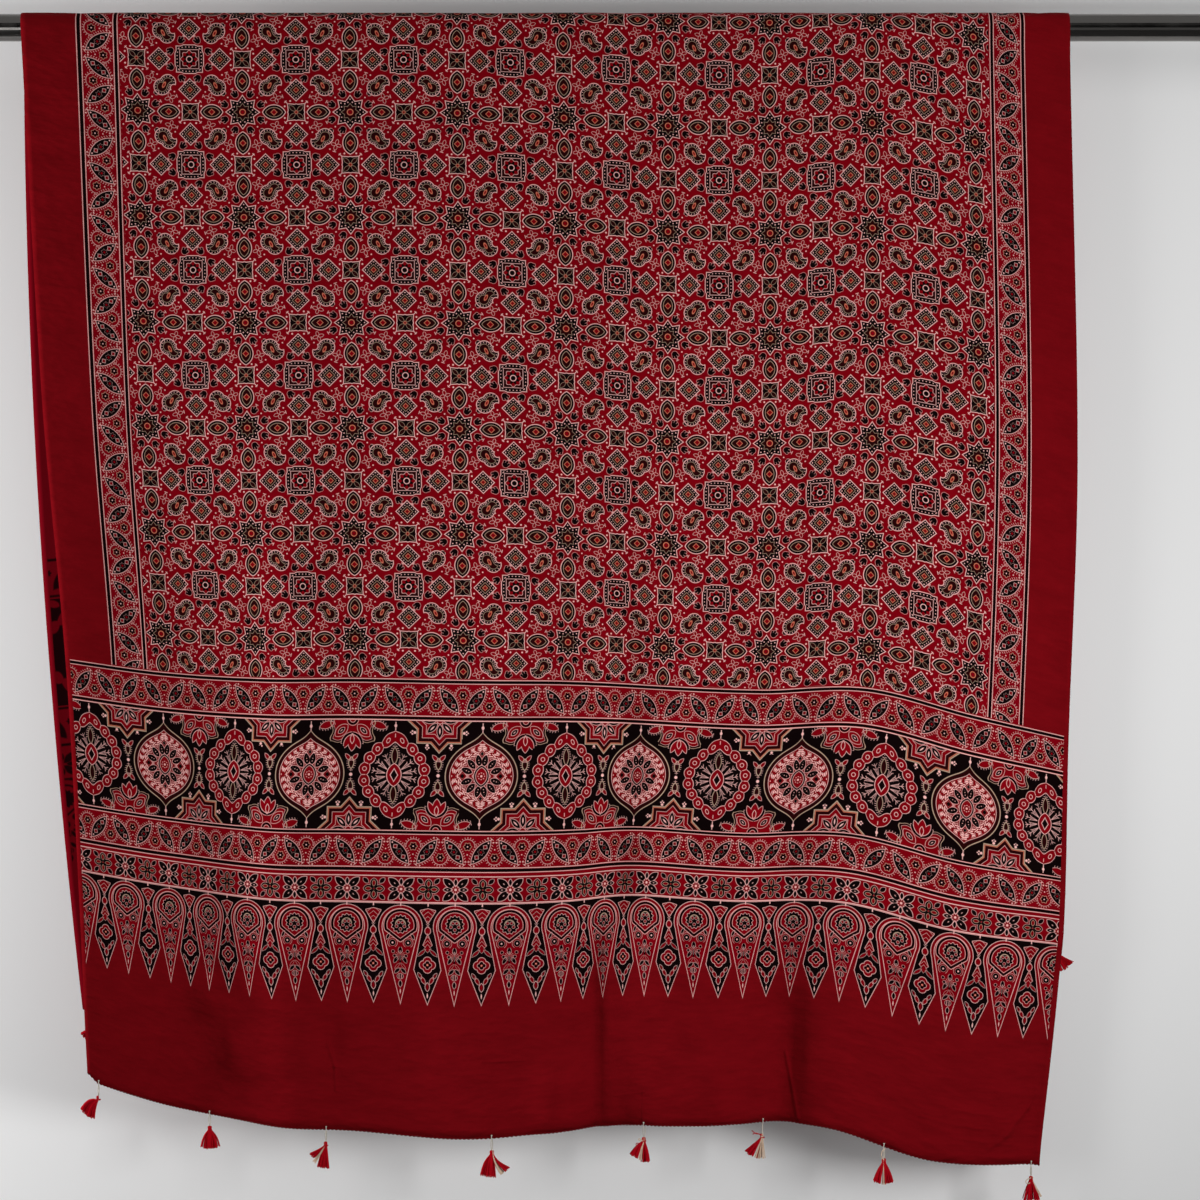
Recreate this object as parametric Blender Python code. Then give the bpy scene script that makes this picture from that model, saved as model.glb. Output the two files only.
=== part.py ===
"""Ajrakh cloth hanging over a plain round rail, with a row of tassels on each hem.

Metres, +Z up, +X along the rail and -Y towards the viewer of the cloth's front.
The origin is the centre of the rail's left end face. The cloth is described by two
flat measures: "across" from its middle, and "along" from the print's first row of
stars, which lies on top of the rail, positive down the front and negative down the
back.
"""

import math
from collections import namedtuple

import bmesh
import bpy
from mathutils import Vector

MM = 0.001

# Rail
RAIL_LENGTH = 1.400
RAIL_RADIUS = 0.014
RAIL_SIDES = 36
RAIL_EDGE_BEVEL = 0.001

# Cloth, flat
CLOTH_WIDTH = 1.120
CLOTH_THICKNESS = 0.0012
FRONT_HEM = 1.156
BACK_HEM = -1.031

# Places along the front that the tables of folds name
FRONT_MIDDLE = 0.415
FRONT_BORDER = 0.690
FRONT_DROPS = 0.918

# How the cloth lies on the rail and hangs from it
SEAT_GAP = 0.0004
WRAP_RADIUS = RAIL_RADIUS + SEAT_GAP + CLOTH_THICKNESS / 2
QUARTER_WRAP = WRAP_RADIUS * math.pi / 2
WRAP_REACH = QUARTER_WRAP + 0.006
FRONT_BULGE = 0.008
BACK_BULGE = 0.012
FOLD_START = 0.030
FOLD_GROWTH = 0.200

# Back drop: how far its two edges hang from the straight, at the hem
BACK_SHIFT_LEFT = 0.0587
BACK_SHIFT_RIGHT = -0.0043
BACK_LIFT_LEFT = 0.000
BACK_LIFT_RIGHT = 0.015

# One row for each upright strip of the hung cloth, in millimetres. across is flat.
# rail, middle, border, drops and hem are its places from the rail's left end, down
# the front. slip is how far it is pulled over to the front, and the lifts are how
# much higher it hangs than a straight drop.
Strip = namedtuple(
    "Strip",
    "across rail middle border drops hem slip lift_border lift_drops lift_hem",
)
STRIPS = [
    Strip(-560, 104, 129, 154, 163, 175, -8, 7, 21, 50),
    Strip(-444, 223, 235, 252, 258, 262, 3, 4, 13, 28),
    Strip(-333, 332, 338, 347, 339, 347, 5, 0, 4, 14),
    Strip(-222, 443, 446, 449, 441, 444, 5, 0, 0, 7),
    Strip(-111, 553, 556, 560, 552, 551, 6, -1, -1, 0),
    Strip(0, 662, 666, 667, 661, 659, 11, 3, 6, 13),
    Strip(111, 770, 769, 764, 747, 745, 19, 6, 20, 27),
    Strip(222, 874, 874, 868, 849, 844, 21, 4, 16, 30),
    Strip(333, 979, 979, 973, 951, 936, 16, 1, 10, 21),
    Strip(444, 1083, 1088, 1079, 1061, 1040, 36, -6, 2, 9),
    Strip(560, 1182, 1190, 1179, 1170, 1150, 60, -6, 9, 23),
]

# One row for each soft upright fold, in millimetres: its place and half width on the
# flat cloth, and how far it stands out at the middle, the border and the hem.
# A minus is a hollow.
Fold = namedtuple("Fold", "across half_width middle border hem")
FRONT_FOLDS = [
    Fold(-560, 70, 4, 12, 26),
    Fold(-400, 75, -3, -10, -15),
    Fold(-290, 45, 2, 8, 12),
    Fold(-60, 55, 2, 5, 12),
    Fold(70, 45, -4, -12, -15),
    Fold(155, 50, 4, 8, 14),
    Fold(262, 35, -2, -5, -14),
    Fold(400, 80, 4, 10, 20),
    Fold(550, 40, -5, -10, -14),
]
BACK_FOLDS = [
    Fold(-540, 60, 4, 8, 14),
    Fold(-380, 60, -3, -6, -10),
    Fold(-230, 55, 4, 8, 14),
    Fold(-60, 60, -3, -7, -12),
    Fold(90, 60, 5, 9, 16),
    Fold(240, 50, -3, -7, -12),
    Fold(380, 60, 4, 8, 15),
    Fold(540, 50, -3, -5, -8),
]

# One row for each tassel, in millimetres along the hem from the cloth's middle, and
# how far it leans to the right for each millimetre that it hangs
Tassel = namedtuple("Tassel", "across front_lean back_lean")
TASSELS = [
    Tassel(-544, -0.50, -0.45),
    Tassel(-394, -0.05, 0.10),
    Tassel(-248, -0.35, -0.20),
    Tassel(-72, 0.15, 0.25),
    Tassel(111, -0.10, -0.10),
    Tassel(249, -0.45, 0.15),
    Tassel(390, -0.05, -0.15),
    Tassel(551, 0.15, 0.40),
]

# Cloth grid: widest strip and the number of rows down each part
GRID_STRIP = 0.042
WRAP_ROWS = 12
FRONT_ROWS = 16
BACK_ROWS = 14

# Tassel: head sections as (depth below the top, half width), then its nine locks
HEAD_TOP_HALF = 0.0013
HEAD_WIDE_HALF = 0.0025
HEAD_NECK_HALF = 0.0021
HEAD_HEIGHT = 0.0060
HEAD_FLATNESS = 0.80
LOCK_LENGTH = 0.0175
LOCK_ROOT_INSET = 0.00012
LOCKS_EACH_WAY = 3
LOCK_BEND_AT = 0.45
LOCK_SPREAD_BEND = 0.0028
LOCK_SPREAD_TIP = 0.0056
LOCK_GROWTH_BEND = 1.45
LOCK_GROWTH_TIP = 2.10

# Tassel tie, a thread that straddles the hem
THREAD_RADIUS = 0.0007
TIE_RISE = 0.004
TIE_PAST_HEM = 0.001
TIE_LENGTH = 0.013
TIE_BEND_POINTS = 5
PIECE_GAP = 0.0003

CLOTH_RED = (0.30, 0.006, 0.010)
TASSEL_RED = (0.45, 0.004, 0.010)
THREAD_CREAM = (0.62, 0.55, 0.43)
RAIL_CHROME = (0.55, 0.55, 0.56)


def clear_scene():
    for thing in list(bpy.data.objects):
        bpy.data.objects.remove(thing, do_unlink=True)


def material(name, color, roughness, metallic=0.0):
    finish = bpy.data.materials.new(name)
    finish.use_nodes = True
    shader = finish.node_tree.nodes["Principled BSDF"]
    shader.inputs["Base Color"].default_value = (*color, 1.0)
    shader.inputs["Roughness"].default_value = roughness
    shader.inputs["Metallic"].default_value = metallic
    return finish


def add_object(name, data, finish):
    thing = bpy.data.objects.new(name, data)
    bpy.context.collection.objects.link(thing)
    data.materials.append(finish)
    return thing


def mesh_object(name, bm, finish):
    bmesh.ops.recalc_face_normals(bm, faces=bm.faces)
    mesh = bpy.data.meshes.new(name)
    bm.to_mesh(mesh)
    bm.free()
    return add_object(name, mesh, finish)


def smooth_curve(places, values, at):
    """Value at one place of the smooth curve through the given places."""
    last = len(places) - 1
    at = min(max(at, places[0]), places[last])
    i = 0
    while i < last - 1 and at > places[i + 1]:
        i += 1

    def slope(k):
        low, high = max(k - 1, 0), min(k + 1, last)
        return (values[high] - values[low]) / (places[high] - places[low])

    span = places[i + 1] - places[i]
    t = (at - places[i]) / span
    rise = values[i + 1] - values[i]
    start, end = slope(i) * span, slope(i + 1) * span
    return (
        values[i]
        + start * t
        + (3 * rise - 2 * start - end) * t * t
        + (start + end - 2 * rise) * t ** 3
    )


def strip_value(across, column):
    """A column of the table of strips, in metres, at a place across the cloth."""
    places = [strip.across * MM for strip in STRIPS]
    return smooth_curve(places, [getattr(strip, column) * MM for strip in STRIPS], across)


def smooth_step(t):
    t = min(max(t, 0.0), 1.0)
    return t * t * (3 - 2 * t)


def fold_depth(folds, across, along):
    """How far the folds of one drop stand out, at one place of the flat cloth."""
    places = [0.0, FRONT_MIDDLE, FRONT_BORDER, FRONT_HEM]
    depth = 0.0
    for fold in folds:
        reach = (across - fold.across * MM) / (fold.half_width * MM)
        heights = [0.0, fold.middle * MM, fold.border * MM, fold.hem * MM]
        depth += math.exp(-reach * reach) * smooth_curve(places, heights, along)
    return depth * smooth_step((along - FOLD_START) / FOLD_GROWTH)


def hang(across, along):
    """Where a place of the flat cloth is when it hangs: the middle of its thickness."""
    arc = along + strip_value(across, "slip")
    angle = min(max(arc / WRAP_RADIUS, -math.pi / 2), math.pi / 2)
    fall = max(abs(arc) - QUARTER_WRAP, 0.0)
    y = -WRAP_RADIUS * math.sin(angle)
    z = WRAP_RADIUS * math.cos(angle) - fall
    if arc >= 0:
        return front_drop(across, along, y, z)
    return back_drop(across, along, fall, y, z)


def front_drop(across, along, y, z):
    places = [0.0, FRONT_MIDDLE, FRONT_BORDER, FRONT_DROPS, FRONT_HEM]
    columns = ["rail", "middle", "border", "drops", "hem"]
    x = smooth_curve(places, [strip_value(across, name) for name in columns], along)
    columns = ["lift_border", "lift_drops", "lift_hem"]
    lifts = [0.0, 0.0] + [strip_value(across, name) for name in columns]
    z += smooth_curve(places, lifts, along)
    bulge = FRONT_BULGE * smooth_step((along - FOLD_START) / FRONT_HEM)
    return Vector((x, y - bulge - fold_depth(FRONT_FOLDS, across, along), z))


def back_drop(across, along, fall, y, z):
    down = (fall / abs(BACK_HEM)) ** 2
    side = across / CLOTH_WIDTH + 0.5
    shift = BACK_SHIFT_LEFT + (BACK_SHIFT_RIGHT - BACK_SHIFT_LEFT) * side
    lift = BACK_LIFT_LEFT + (BACK_LIFT_RIGHT - BACK_LIFT_LEFT) * side
    x = strip_value(across, "rail") + shift * down
    bulge = BACK_BULGE * smooth_step((fall - FOLD_START) / abs(BACK_HEM))
    depth = fold_depth(BACK_FOLDS, across, fall)
    return Vector((x, y + bulge + depth, z + lift * down))


def grid_columns():
    """Places across the cloth, with one at each tassel."""
    edge = CLOTH_WIDTH / 2
    stops = [-edge] + [tassel.across * MM for tassel in TASSELS] + [edge]
    columns = [-edge]
    for start, end in zip(stops, stops[1:]):
        count = math.ceil((end - start) / GRID_STRIP)
        columns += [start + (end - start) * (i + 1) / count for i in range(count)]
    return columns


def grid_places(across):
    """Places along the cloth for one column of the grid, from back hem to front hem."""
    slip = strip_value(across, "slip")
    top_back, top_front = -WRAP_REACH - slip, WRAP_REACH - slip
    back = [BACK_HEM + (top_back - BACK_HEM) * i / BACK_ROWS for i in range(BACK_ROWS)]
    wrap = [top_back + 2 * WRAP_REACH * i / WRAP_ROWS for i in range(WRAP_ROWS)]
    front = [
        top_front + (FRONT_HEM - top_front) * i / FRONT_ROWS for i in range(FRONT_ROWS + 1)
    ]
    return back + wrap + front


def hung_grid():
    """The hung cloth's grid points, a list for each column, from back hem to front hem."""
    return [[hang(across, along) for along in grid_places(across)] for across in grid_columns()]


def make_cloth(grid, finish):
    bm = bmesh.new()
    verts = [[bm.verts.new(point) for point in column] for column in grid]
    for left, right in zip(verts, verts[1:]):
        for i in range(len(left) - 1):
            bm.faces.new((left[i], right[i], right[i + 1], left[i + 1]))
    cloth = mesh_object("cloth", bm, finish)
    thick = cloth.modifiers.new("thickness", "SOLIDIFY")
    thick.thickness = CLOTH_THICKNESS
    thick.offset = 0.0
    thick.use_even_offset = True
    return cloth


def make_rail(finish):
    bm = bmesh.new()
    bmesh.ops.create_cone(
        bm, cap_ends=True, segments=RAIL_SIDES,
        radius1=RAIL_RADIUS, radius2=RAIL_RADIUS, depth=RAIL_LENGTH,
    )
    rims = [edge for edge in bm.edges if len({round(v.co.z, 6) for v in edge.verts}) == 1]
    bmesh.ops.bevel(
        bm, geom=rims, offset=RAIL_EDGE_BEVEL, segments=1, profile=0.5,
        affect="EDGES", material=-1,
    )
    rail = mesh_object("rail", bm, finish)
    rail.rotation_euler = (0.0, math.pi / 2, 0.0)
    rail.location = (RAIL_LENGTH / 2, 0.0, 0.0)
    return rail


def hem_frame(grid, column, row, inner_row):
    """A grid point on a hem, with the cloth's downward way and its normal there."""
    point = grid[column][row]
    down = (point - grid[column][inner_row]).normalized()
    normal = Vector()
    for neighbour in (column - 1, column + 1):
        side = (grid[neighbour][row] - point) * (neighbour - column)
        normal += side.cross(down).normalized()
    return point, down, normal.normalized()


def tie_route(point, down, normal):
    """The tie's middle line, from one face of the hem round to the other."""
    reach = CLOTH_THICKNESS / 2 + PIECE_GAP + THREAD_RADIUS
    aside = normal * reach
    level = Vector((normal.x, normal.y, 0.0)).normalized() * reach
    bend = Vector((point.x, point.y, point.z - TIE_LENGTH))
    start = [point - down * TIE_RISE + aside, point + down * TIE_PAST_HEM + aside]
    end = [point + down * TIE_PAST_HEM - aside, point - down * TIE_RISE - aside]
    turn = []
    for i in range(TIE_BEND_POINTS):
        angle = math.pi * i / (TIE_BEND_POINTS - 1)
        turn.append(bend + level * math.cos(angle) - Vector((0, 0, reach * math.sin(angle))))
    return start + turn + end


def make_tie(name, route, finish):
    curve = bpy.data.curves.new(name, "CURVE")
    curve.dimensions = "3D"
    curve.bevel_depth = THREAD_RADIUS
    curve.bevel_resolution = 1
    curve.use_fill_caps = True
    line = curve.splines.new("POLY")
    line.points.add(len(route) - 1)
    for spot, place in zip(line.points, route):
        spot.co = (*place, 1.0)
    return add_object(name, curve, finish)


def tassel_head(bm):
    """A small rounded head with its top at the origin, and the faces under it."""
    bmesh.ops.create_cube(bm, size=1.0)
    level = [edge for edge in bm.edges if abs(edge.verts[0].co.z - edge.verts[1].co.z) < 0.5]
    bmesh.ops.subdivide_edges(bm, edges=level, cuts=LOCKS_EACH_WAY - 1, use_grid_fill=True)
    upright = [edge for edge in bm.edges if abs(edge.verts[0].co.z - edge.verts[1].co.z) > 0.5]
    bmesh.ops.subdivide_edges(bm, edges=upright, cuts=1)
    halves = {0.5: HEAD_TOP_HALF, 0.0: HEAD_WIDE_HALF, -0.5: HEAD_NECK_HALF}
    for vert in bm.verts:
        half = halves[round(vert.co.z, 1)]
        vert.co.x *= 2 * half
        vert.co.y *= 2 * half * HEAD_FLATNESS
        vert.co.z = (vert.co.z - 0.5) * HEAD_HEIGHT
    bmesh.ops.recalc_face_normals(bm, faces=bm.faces)
    return [face for face in bm.faces if face.normal.z < -0.99]


def grow_locks(bm, roots):
    """Locks drawn out of the faces under the head, bent outwards once on their way."""
    bmesh.ops.inset_individual(bm, faces=roots, thickness=LOCK_ROOT_INSET)
    steps = [
        (LOCK_BEND_AT, LOCK_SPREAD_BEND, LOCK_GROWTH_BEND),
        (1.0, LOCK_SPREAD_TIP, LOCK_GROWTH_TIP),
    ]
    homes = [face.calc_center_median() for face in roots]
    sizes = [[vert.co - home for vert in face.verts] for face, home in zip(roots, homes)]
    faces = roots
    for part, spread, growth in steps:
        faces = bmesh.ops.extrude_discrete_faces(bm, faces=faces)["faces"]
        for face, home, size in zip(faces, homes, sizes):
            outward = Vector((home.x, home.y / HEAD_FLATNESS, 0.0)) / HEAD_NECK_HALF
            middle = home + outward * spread - Vector((0, 0, LOCK_LENGTH * part))
            for vert, corner in zip(face.verts, size):
                vert.co = middle + corner * growth


def make_tassel(name, top, lean, finish):
    bm = bmesh.new()
    grow_locks(bm, tassel_head(bm))
    for vert in bm.verts:
        vert.co.x -= lean * vert.co.z
    tassel = mesh_object(name, bm, finish)
    tassel.location = top
    return tassel


def hang_tassels(grid, side, row, inner_row, leans, finishes):
    """The ties and tassels of one hem, from left to right."""
    columns = grid_columns()
    for number, (tassel, lean) in enumerate(zip(TASSELS, leans), start=1):
        column = min(range(len(columns)), key=lambda i: abs(columns[i] - tassel.across * MM))
        route = tie_route(*hem_frame(grid, column, row, inner_row))
        make_tie(f"tie_{side}_{number}", route, finishes["thread"])
        lowest = min(route, key=lambda place: place.z)
        top = lowest - Vector((0, 0, THREAD_RADIUS + PIECE_GAP))
        make_tassel(f"tassel_{side}_{number}", top, lean, finishes["yarn"])


def main():
    clear_scene()
    finishes = {
        "cloth": material("printed_cloth", CLOTH_RED, 0.75),
        "yarn": material("tassel_yarn", TASSEL_RED, 0.85),
        "thread": material("tie_thread", THREAD_CREAM, 0.80),
        "rail": material("rail_chrome", RAIL_CHROME, 0.18, metallic=1.0),
    }
    make_rail(finishes["rail"])
    grid = hung_grid()
    make_cloth(grid, finishes["cloth"])
    hang_tassels(grid, "front", -1, -2, [t.front_lean for t in TASSELS], finishes)
    hang_tassels(grid, "back", 0, 1, [t.back_lean for t in TASSELS], finishes)


main()
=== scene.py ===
"""The looks of an ajrakh cloth hung over a rail: printed cloth, yarn tassels and chrome.

The cloth is described as in its source by two flat measures in metres: across, from
its middle, and along, from the first row of stars on top of the rail, positive down
the front. The print is drawn in print units, about a millimetre each, by the nodes
of its materials: each motif is a distance from its outline, worked out from the
cloth's own map.
"""

import math
import random
from collections import namedtuple

import bmesh
import bpy
from mathutils import Matrix, Vector


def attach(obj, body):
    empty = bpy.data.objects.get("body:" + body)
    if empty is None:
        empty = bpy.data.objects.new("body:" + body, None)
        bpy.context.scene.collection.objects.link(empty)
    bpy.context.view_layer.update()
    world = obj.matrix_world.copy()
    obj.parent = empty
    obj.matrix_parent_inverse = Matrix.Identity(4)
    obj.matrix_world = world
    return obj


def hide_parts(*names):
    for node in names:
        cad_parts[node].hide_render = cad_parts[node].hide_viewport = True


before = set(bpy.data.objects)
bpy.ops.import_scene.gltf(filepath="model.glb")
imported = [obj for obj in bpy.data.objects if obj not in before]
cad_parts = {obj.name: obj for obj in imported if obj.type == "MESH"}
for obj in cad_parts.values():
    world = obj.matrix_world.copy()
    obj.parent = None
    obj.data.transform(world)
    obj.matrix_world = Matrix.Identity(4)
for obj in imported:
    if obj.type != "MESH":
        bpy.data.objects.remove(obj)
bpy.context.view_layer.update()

MM = 0.001
PRINT_UNIT = 0.001025

# In the print's drawing: a square's side as a share of its diagonal, and a distance
# that moves a motif out of sight
DIAGONAL = 0.7071
OUT_OF_SIGHT = 60.0

# Rail and cloth, as in the solids
RAIL_RADIUS = 0.014
CLOTH_WIDTH = 1.120
SOLID_THICKNESS = 0.0012
FRONT_HEM = 1.156
BACK_HEM = -1.031
FRONT_MIDDLE = 0.415
FRONT_BORDER = 0.690
FRONT_DROPS = 0.918
SEAT_GAP = 0.0004
WRAP_RADIUS = RAIL_RADIUS + SEAT_GAP + SOLID_THICKNESS / 2
QUARTER_WRAP = WRAP_RADIUS * math.pi / 2
FRONT_BULGE = 0.008
BACK_BULGE = 0.012
FOLD_START = 0.030
FOLD_GROWTH = 0.200
BACK_SHIFT_LEFT = 0.0587
BACK_SHIFT_RIGHT = -0.0043
BACK_LIFT_LEFT = 0.000
BACK_LIFT_RIGHT = 0.015

# The front's left corner turns up a little
CORNER_LIFT = 0.006
CORNER_START = -0.543
CORNER_WIDTH = 0.016
CORNER_TOP = 1.10
CORNER_HEIGHT = 0.05

# Upright strips of the hung cloth, in millimetres, as in the solids
Strip = namedtuple(
    "Strip",
    "across rail middle border drops hem slip lift_border lift_drops lift_hem",
)
STRIPS = [Strip(*row) for row in (
    (-560, 104, 129, 155, 169, 180, -8, 7, 21, 50),
    (-444, 223, 235, 252, 258, 262, 3, 4, 13, 28), (-333, 332, 338, 347, 339, 347, 5, 0, 4, 14),
    (-222, 443, 446, 449, 441, 444, 5, 0, 0, 7), (-111, 553, 556, 560, 552, 551, 6, -1, -1, 0),
    (0, 662, 666, 667, 661, 659, 11, 3, 6, 13), (111, 770, 769, 764, 747, 745, 19, 6, 20, 27),
    (222, 874, 874, 868, 849, 844, 21, 4, 16, 30),
    (333, 979, 979, 973, 951, 936, 16, 1, 10, 21),
    (444, 1083, 1088, 1079, 1061, 1040, 36, -6, 2, 9),
    (560, 1182, 1190, 1181, 1175, 1152, 60, -6, 9, 23),
)]

# Soft upright folds, in millimetres: place, half width, and depth down the drop
Fold = namedtuple("Fold", "across half_width middle border hem")
FRONT_FOLDS = [Fold(*row) for row in (
    (-560, 70, 4, 12, 26), (-400, 75, -3, -10, -15), (-290, 45, 2, 8, 12), (-60, 55, 2, 5, 12),
    (70, 45, -4, -12, -15), (155, 50, 4, 8, 14), (262, 35, -2, -5, -14), (400, 80, 4, 10, 20),
    (550, 40, -5, -10, -14),
)]
BACK_FOLDS = [Fold(*row) for row in (
    (-540, 60, 4, 8, 14), (-380, 60, -3, -6, -10), (-230, 55, 4, 8, 14), (-60, 60, -3, -7, -12),
    (90, 60, 5, 9, 16), (240, 50, -3, -7, -12), (380, 60, 4, 8, 15), (540, 50, -3, -5, -8),
)]

# Sharp creases in the plain end, in print units: a line's two ends, how wide, how high
Crease = namedtuple("Crease", "u v u_end v_end half_width height")
CREASES = [Crease(*row) for row in (
    (-238, 1041, -231, 1064, 2.2, 0.9), (-231, 1064, -230, 1088, 2.0, 0.9),
    (269, 1056, 286, 1124, 2.2, 1.1), (107, 1088, 107, 1126, 1.8, 0.6),
    (-80, 1052, -38, 1053, 1.4, 0.5), (70, 1098, 108, 1094, 1.4, 0.4),
    (415, 1086, 480, 1092, 1.8, 0.4), (440, 1073, 505, 1079, 1.8, 0.4),
    (450, 1102, 512, 1108, 1.8, 0.4), (-540, 1032, -430, 1022, 2.4, 0.4),
    (-550, 233, -500, 236, 2.2, 0.5), (-550, 289, -500, 291, 2.2, 0.5),
    (-556, 572, -520, 577, 2.2, 0.6), (503, 584, 552, 588, 2.2, 0.6),
    (506, 1098, 528, 1070, 3.2, 1.4), (528, 1070, 536, 1050, 2.4, 1.0),
    (490, 1112, 512, 1096, 3.0, 1.2),
)]

# Soft upright creases, in millimetres: place, from and to down the cloth, half widths
# to the left and right, and height
SoftCrease = namedtuple("SoftCrease", "across start end left right height")
SOFT_CREASES = [SoftCrease(*row) for row in (
    (62, 915, 1190, 10, 85, 15.0), (-6, 1060, 1190, 22, 50, 14.0),
    (284, 990, 1190, 44, 9, -8.0), (-236, 1020, 1110, 20, 7, -4.5),
    (-350, 1050, 1120, 24, 30, 8.0), (-390, 1000, 1062, 26, 30, 8.0),
    (-120, 940, 1190, 26, 36, 3.0), (551, 900, 1190, 18, 30, -10.0),
    (110, 1080, 1190, 9, 9, -2.0), (190, 1060, 1190, 24, 70, 9.0), (28, 560, 900, 9, 14, 2.6),
    (-60, 380, 800, 16, 24, 1.8), (-340, 560, 900, 10, 16, -2.5), (-396, 520, 880, 14, 12, 2.4),
    (230, 300, 760, 24, 16, 2.2), (120, 100, 560, 18, 26, -1.8), (-200, 90, 430, 24, 20, 1.8),
)]

# As in the solids: each tassel's place along the hem, and how far it leans
Tassel = namedtuple("Tassel", "across front_lean back_lean")
TASSELS = [Tassel(*row) for row in (
    (-544, -0.50, -0.45), (-394, -0.05, 0.10), (-248, -0.35, -0.20), (-72, 0.15, 0.25),
    (111, -0.10, -0.10), (249, -0.45, 0.15), (390, -0.05, -0.15), (551, 0.15, 0.40),
)]
TIE_RISE = 0.0024
TIE_LENGTH = 0.0122
TIE_REACH = 0.0014
TASSEL_BELOW_TIE = 0.0016
THREAD_RADIUS = 0.00046
STRAND_RADIUS = 0.00050
THREADS_APART = 0.0009
HEM_RADIUS = 0.00090
STITCH = 0.0022
SCALLOP = 0.0008
SWELL_OF_HEM = 1.6
PINCH_OF_HEM = 0.4

# Locks of yarn: angles from straight down, length in millimetres, how far they flare
# or, below nought, bulge on the way, and how many strands
Lock = namedtuple("Lock", "yarn start end length flare strands")


def red(*shape):
    return Lock("red", *shape)


def cream(*shape):
    return Lock("cream", *shape)


FRONT_LOCKS = [
    [red(-62, -12, 18, -0.85, 64)],
    [red(-28, 28, 18, -0.90, 62)],
    [
        red(-62, -42, 16, 0.10, 14), cream(-38, -29, 19, 0.10, 10),
        red(-22, 8, 22, -0.50, 36),
    ],
    [
        red(-26, 8, 22, -0.90, 40), cream(-29, -27, 18, -0.90, 2),
        cream(20, 32, 21, 0.55, 11), red(34, 52, 20, 0.45, 24),
    ],
    [
        red(-46, -16, 17, -0.35, 26), cream(-15, -7, 18, -0.90, 8),
        red(-6, 14, 20, -0.80, 26),
    ],
    [
        red(-50, -24, 20, 0.0, 32), cream(-20, 6, 20, 0.0, 24),
        red(-14, -12, 21, 0.0, 2),
    ],
    [
        red(-27, -6, 20, -0.45, 24), cream(-4, 3, 21, -0.10, 7),
        red(4, 25, 20, -0.55, 26),
    ],
    [red(-20, 22, 20, -0.40, 44), cream(25, 32, 18, 0.0, 6)],
]
BACK_LOCKS = [
    [red(-58, -30, 18, 0.10, 34), cream(-28, -12, 19, 0.0, 16)],
    [red(-24, 8, 20, -0.30, 34), cream(10, 20, 20, 0.0, 10)],
    [red(-34, 12, 20, -0.10, 46)],
    [cream(-8, 4, 20, 0.0, 10), red(6, 34, 20, -0.20, 34)],
    [red(-22, 20, 21, -0.35, 46)],
    [red(-20, 4, 19, -0.20, 26), cream(6, 24, 20, 0.0, 16)],
    [red(-28, 16, 20, -0.20, 46)],
    [red(14, 60, 19, 0.15, 44)],
]

# Loose ends and small loops beside the tassels, as yarn and places in millimetres
# right of and above the tassel's top
FRONT_LOOSE = {
    5: [
        ("red", [(-1, -4), (-5, -6), (-8, -5), (-8.5, -8), (-5, -9), (-3, -6)]),
        ("cream", [(-1, -3), (-4, -3.5), (-6, -2), (-5, -0.5), (-2, -2)]),
    ],
    6: [
        ("red", [(0, -1), (-4, 1), (-7, 0), (-11, 4)]),
        ("red", [(0, -1), (-3, 0), (-8, 2), (-10, 0)]),
    ],
    7: [("cream", [(0, -1), (-2.6, 2), (-2.8, 6), (-1.0, 9.5), (1.5, 11)])],
    8: [("cream", [(0, -1), (-4, -2), (-6, -5), (-4, -8), (-1, -6)])],
}

# The print's plan, in print units: its stars, side borders and end borders
STAR_HALF_PITCH = 54.1
ROW_HALF_PITCH = 52.65
DROP_HALF_PITCH = 27.05
SQUARE_PITCH = 27.05
MEDALLION_STEP = 87.0
FIELD_EDGE = 449.6
SIDE_LINES = [
    ("cream", 451.3, 0.6), ("black", 453.4, 1.5), ("cream", 455.5, 0.6),
    ("cream", 487.4, 0.6), ("black", 489.7, 1.6), ("cream", 492.0, 0.6),
]
SIDE_BORDER_MIDDLE = 471.4
SIDE_BORDER_END = 495.9
PRINT_EDGE = 541.0
FRONT_PALLU = 673.3
BACK_PALLU = -550.8

# Down an end border, from its first black line: lines as ink, place and half width
END_LINES = [
    ("cream", -2.0, 0.6), ("black", 0.0, 1.4), ("cream", 1.8, 0.55),
    ("cream", 34.4, 0.6), ("black", 36.5, 1.2), ("cream", 38.6, 0.7),
    ("cream", 148.4, 0.6), ("black", 150.2, 1.2), ("cream", 152.0, 0.55),
    ("cream", 184.9, 0.6), ("black", 187.2, 1.4), ("cream", 189.3, 0.6),
    ("cream", 193.7, 0.7), ("cream", 219.9, 0.7),
]
LEAVES_MIDDLE = 18.5
MEDALLIONS_MIDDLE = 93.4
LOWER_LEAVES_MIDDLE = 169.2
LOWER_LEAVES_SHIFT = 10.5
SQUARES_MIDDLE = 206.8
DROPS_START = 219.9
DROPS_END = 325.0

# Where the mesh changes from one part of an end border to the next, in the same
# measure, and how far aside the teardrops' own parts reach
BORDER_START = -3.5
UPPER_LEAVES_END = 39.3
MEDALLION_ROWS = (65.4, 119.4)
MEDALLIONS_END = 147.6
LOWER_LEAVES_END = 187.4
SQUARES_END = DROPS_START - 1.5
DROP_HEADS_END = DROPS_START + 45.0
DROP_HEAD_REACH = 18.1
DROP_TAIL_REACH = DROP_HALF_PITCH - 13.6

# How far aside a medallion's part reaches, up to each distance from its middle
MEDALLION_REACH = [(27.0, 33.0), (38.0, 17.0), (math.inf, 6.0)]

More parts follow.
